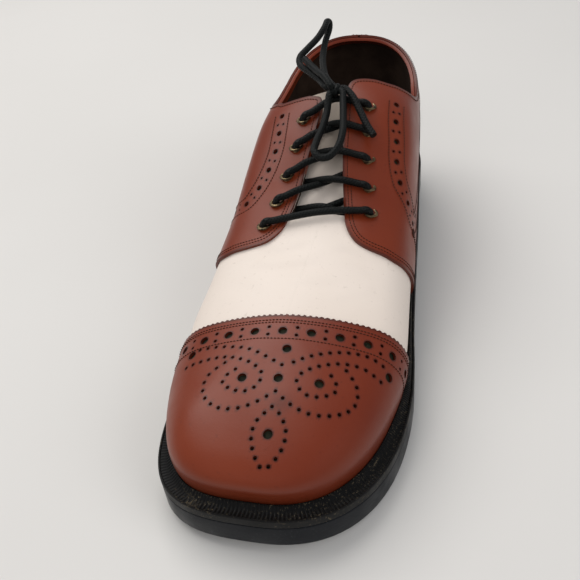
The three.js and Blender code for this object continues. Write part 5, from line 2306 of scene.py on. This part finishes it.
@dataclass(frozen=True)
class Lamp:
    """One soft light: its place, its aim, its size in metres and its power in watts."""

    name: str
    place: tuple[float, float, float]
    aim: tuple[float, float, float]
    size: tuple[float, float]
    power: float
    colour: Colour
    glossy: bool = True

    def build(self) -> None:
        """Hang the lamp."""
        data = bpy.data.lights.new(self.name, "AREA")
        data.shape = "RECTANGLE"
        data.size, data.size_y = self.size
        data.energy = self.power
        data.color = self.colour
        lamp = bpy.data.objects.new(self.name, data)
        bpy.context.scene.collection.objects.link(lamp)
        lamp.location = self.place
        aim = Vector(self.aim) - Vector(self.place)
        lamp.rotation_euler = aim.to_track_quat("-Z", "Y").to_euler()
        lamp.visible_glossy = self.glossy


@dataclass
class Studio:
    """Camera, floor and soft lights."""

    place: tuple[float, float, float] = (0.0761, -0.3109, 0.2810)
    right: tuple[float, float, float] = (0.97197, 0.21477, -0.09561)
    up: tuple[float, float, float] = (-0.06704, 0.64303, 0.76290)
    forward: tuple[float, float, float] = (-0.22532, 0.73511, -0.63940)
    lens: float = 47.5
    sensor: float = 36.0
    clip: tuple[float, float] = (0.01, 50.0)
    pixels: int = 580
    floor_size: float = 12.0
    sky: Colour = (0.93, 0.95, 1.0)
    sky_strength: float = 0.34
    lamps: tuple[Lamp, ...] = (
        Lamp("key", (-0.50, 0.35, 1.15), (0, -0.03, 0.04), (1.3, 1.1), 14.0, (1.0, 0.98, 0.95)),
        Lamp("fill", (1.2, -0.5, 0.9), (0, 0, 0.05), (1.0, 1.0), 8.0, (0.97, 0.98, 1.0), False),
        Lamp("front", (-0.3, -1.2, 1.0), (0, 0, 0.05), (1.0, 0.8), 4.5, (1.0, 0.99, 0.97), False),
    )

    def camera(self) -> None:
        """Set the camera up."""
        data = bpy.data.cameras.new("camera")
        data.lens = self.lens
        data.sensor_width = self.sensor
        data.clip_start, data.clip_end = self.clip
        camera = bpy.data.objects.new("camera", data)
        bpy.context.scene.collection.objects.link(camera)
        back = -Vector(self.forward)
        turned = Matrix((Vector(self.right), Vector(self.up), back)).transposed().to_4x4()
        turned.translation = Vector(self.place)
        camera.matrix_world = turned
        bpy.context.scene.camera = camera
        bpy.context.scene.render.resolution_x = self.pixels
        bpy.context.scene.render.resolution_y = self.pixels

    def floor(self) -> None:
        """Lay a pale, flat floor."""
        deselect()
        bpy.ops.mesh.primitive_plane_add(size=self.floor_size, location=(0, 0, 0))
        floor = bpy.context.object
        floor.name = "floor"
        floor.data.materials.append(finish(Finish.FLOOR))

    def lights(self) -> None:
        """Set the lights up."""
        for lamp in self.lamps:
            lamp.build()
        world = bpy.data.worlds.new("studio")
        bpy.context.scene.world = world
        world.use_nodes = True
        sky = world.node_tree.nodes["Background"].inputs
        sky["Color"].default_value = (*self.sky, 1.0)
        sky["Strength"].default_value = self.sky_strength
        bpy.context.scene.view_settings.view_transform = "Standard"


def main() -> None:
    """Build the shoe and its studio."""
    logging.basicConfig(level=logging.INFO, format="%(message)s")
    studio = Studio()
    studio.camera()
    lacing = Lacing(Eyelets())
    lacing.build_bow()
    lacing.build_knot()
    lacing.build()
    lacing.eyelets.build()
    Outsole().build()
    Heel().build()
    Welt().build()
    Insole().build()
    Upper().build()
    ToeCap().build()
    for side in Side:
        Quarter(side).build()
    BackStay().build()
    Tongue().build()
    studio.floor()
    studio.lights()


if __name__ == "__main__":
    main()
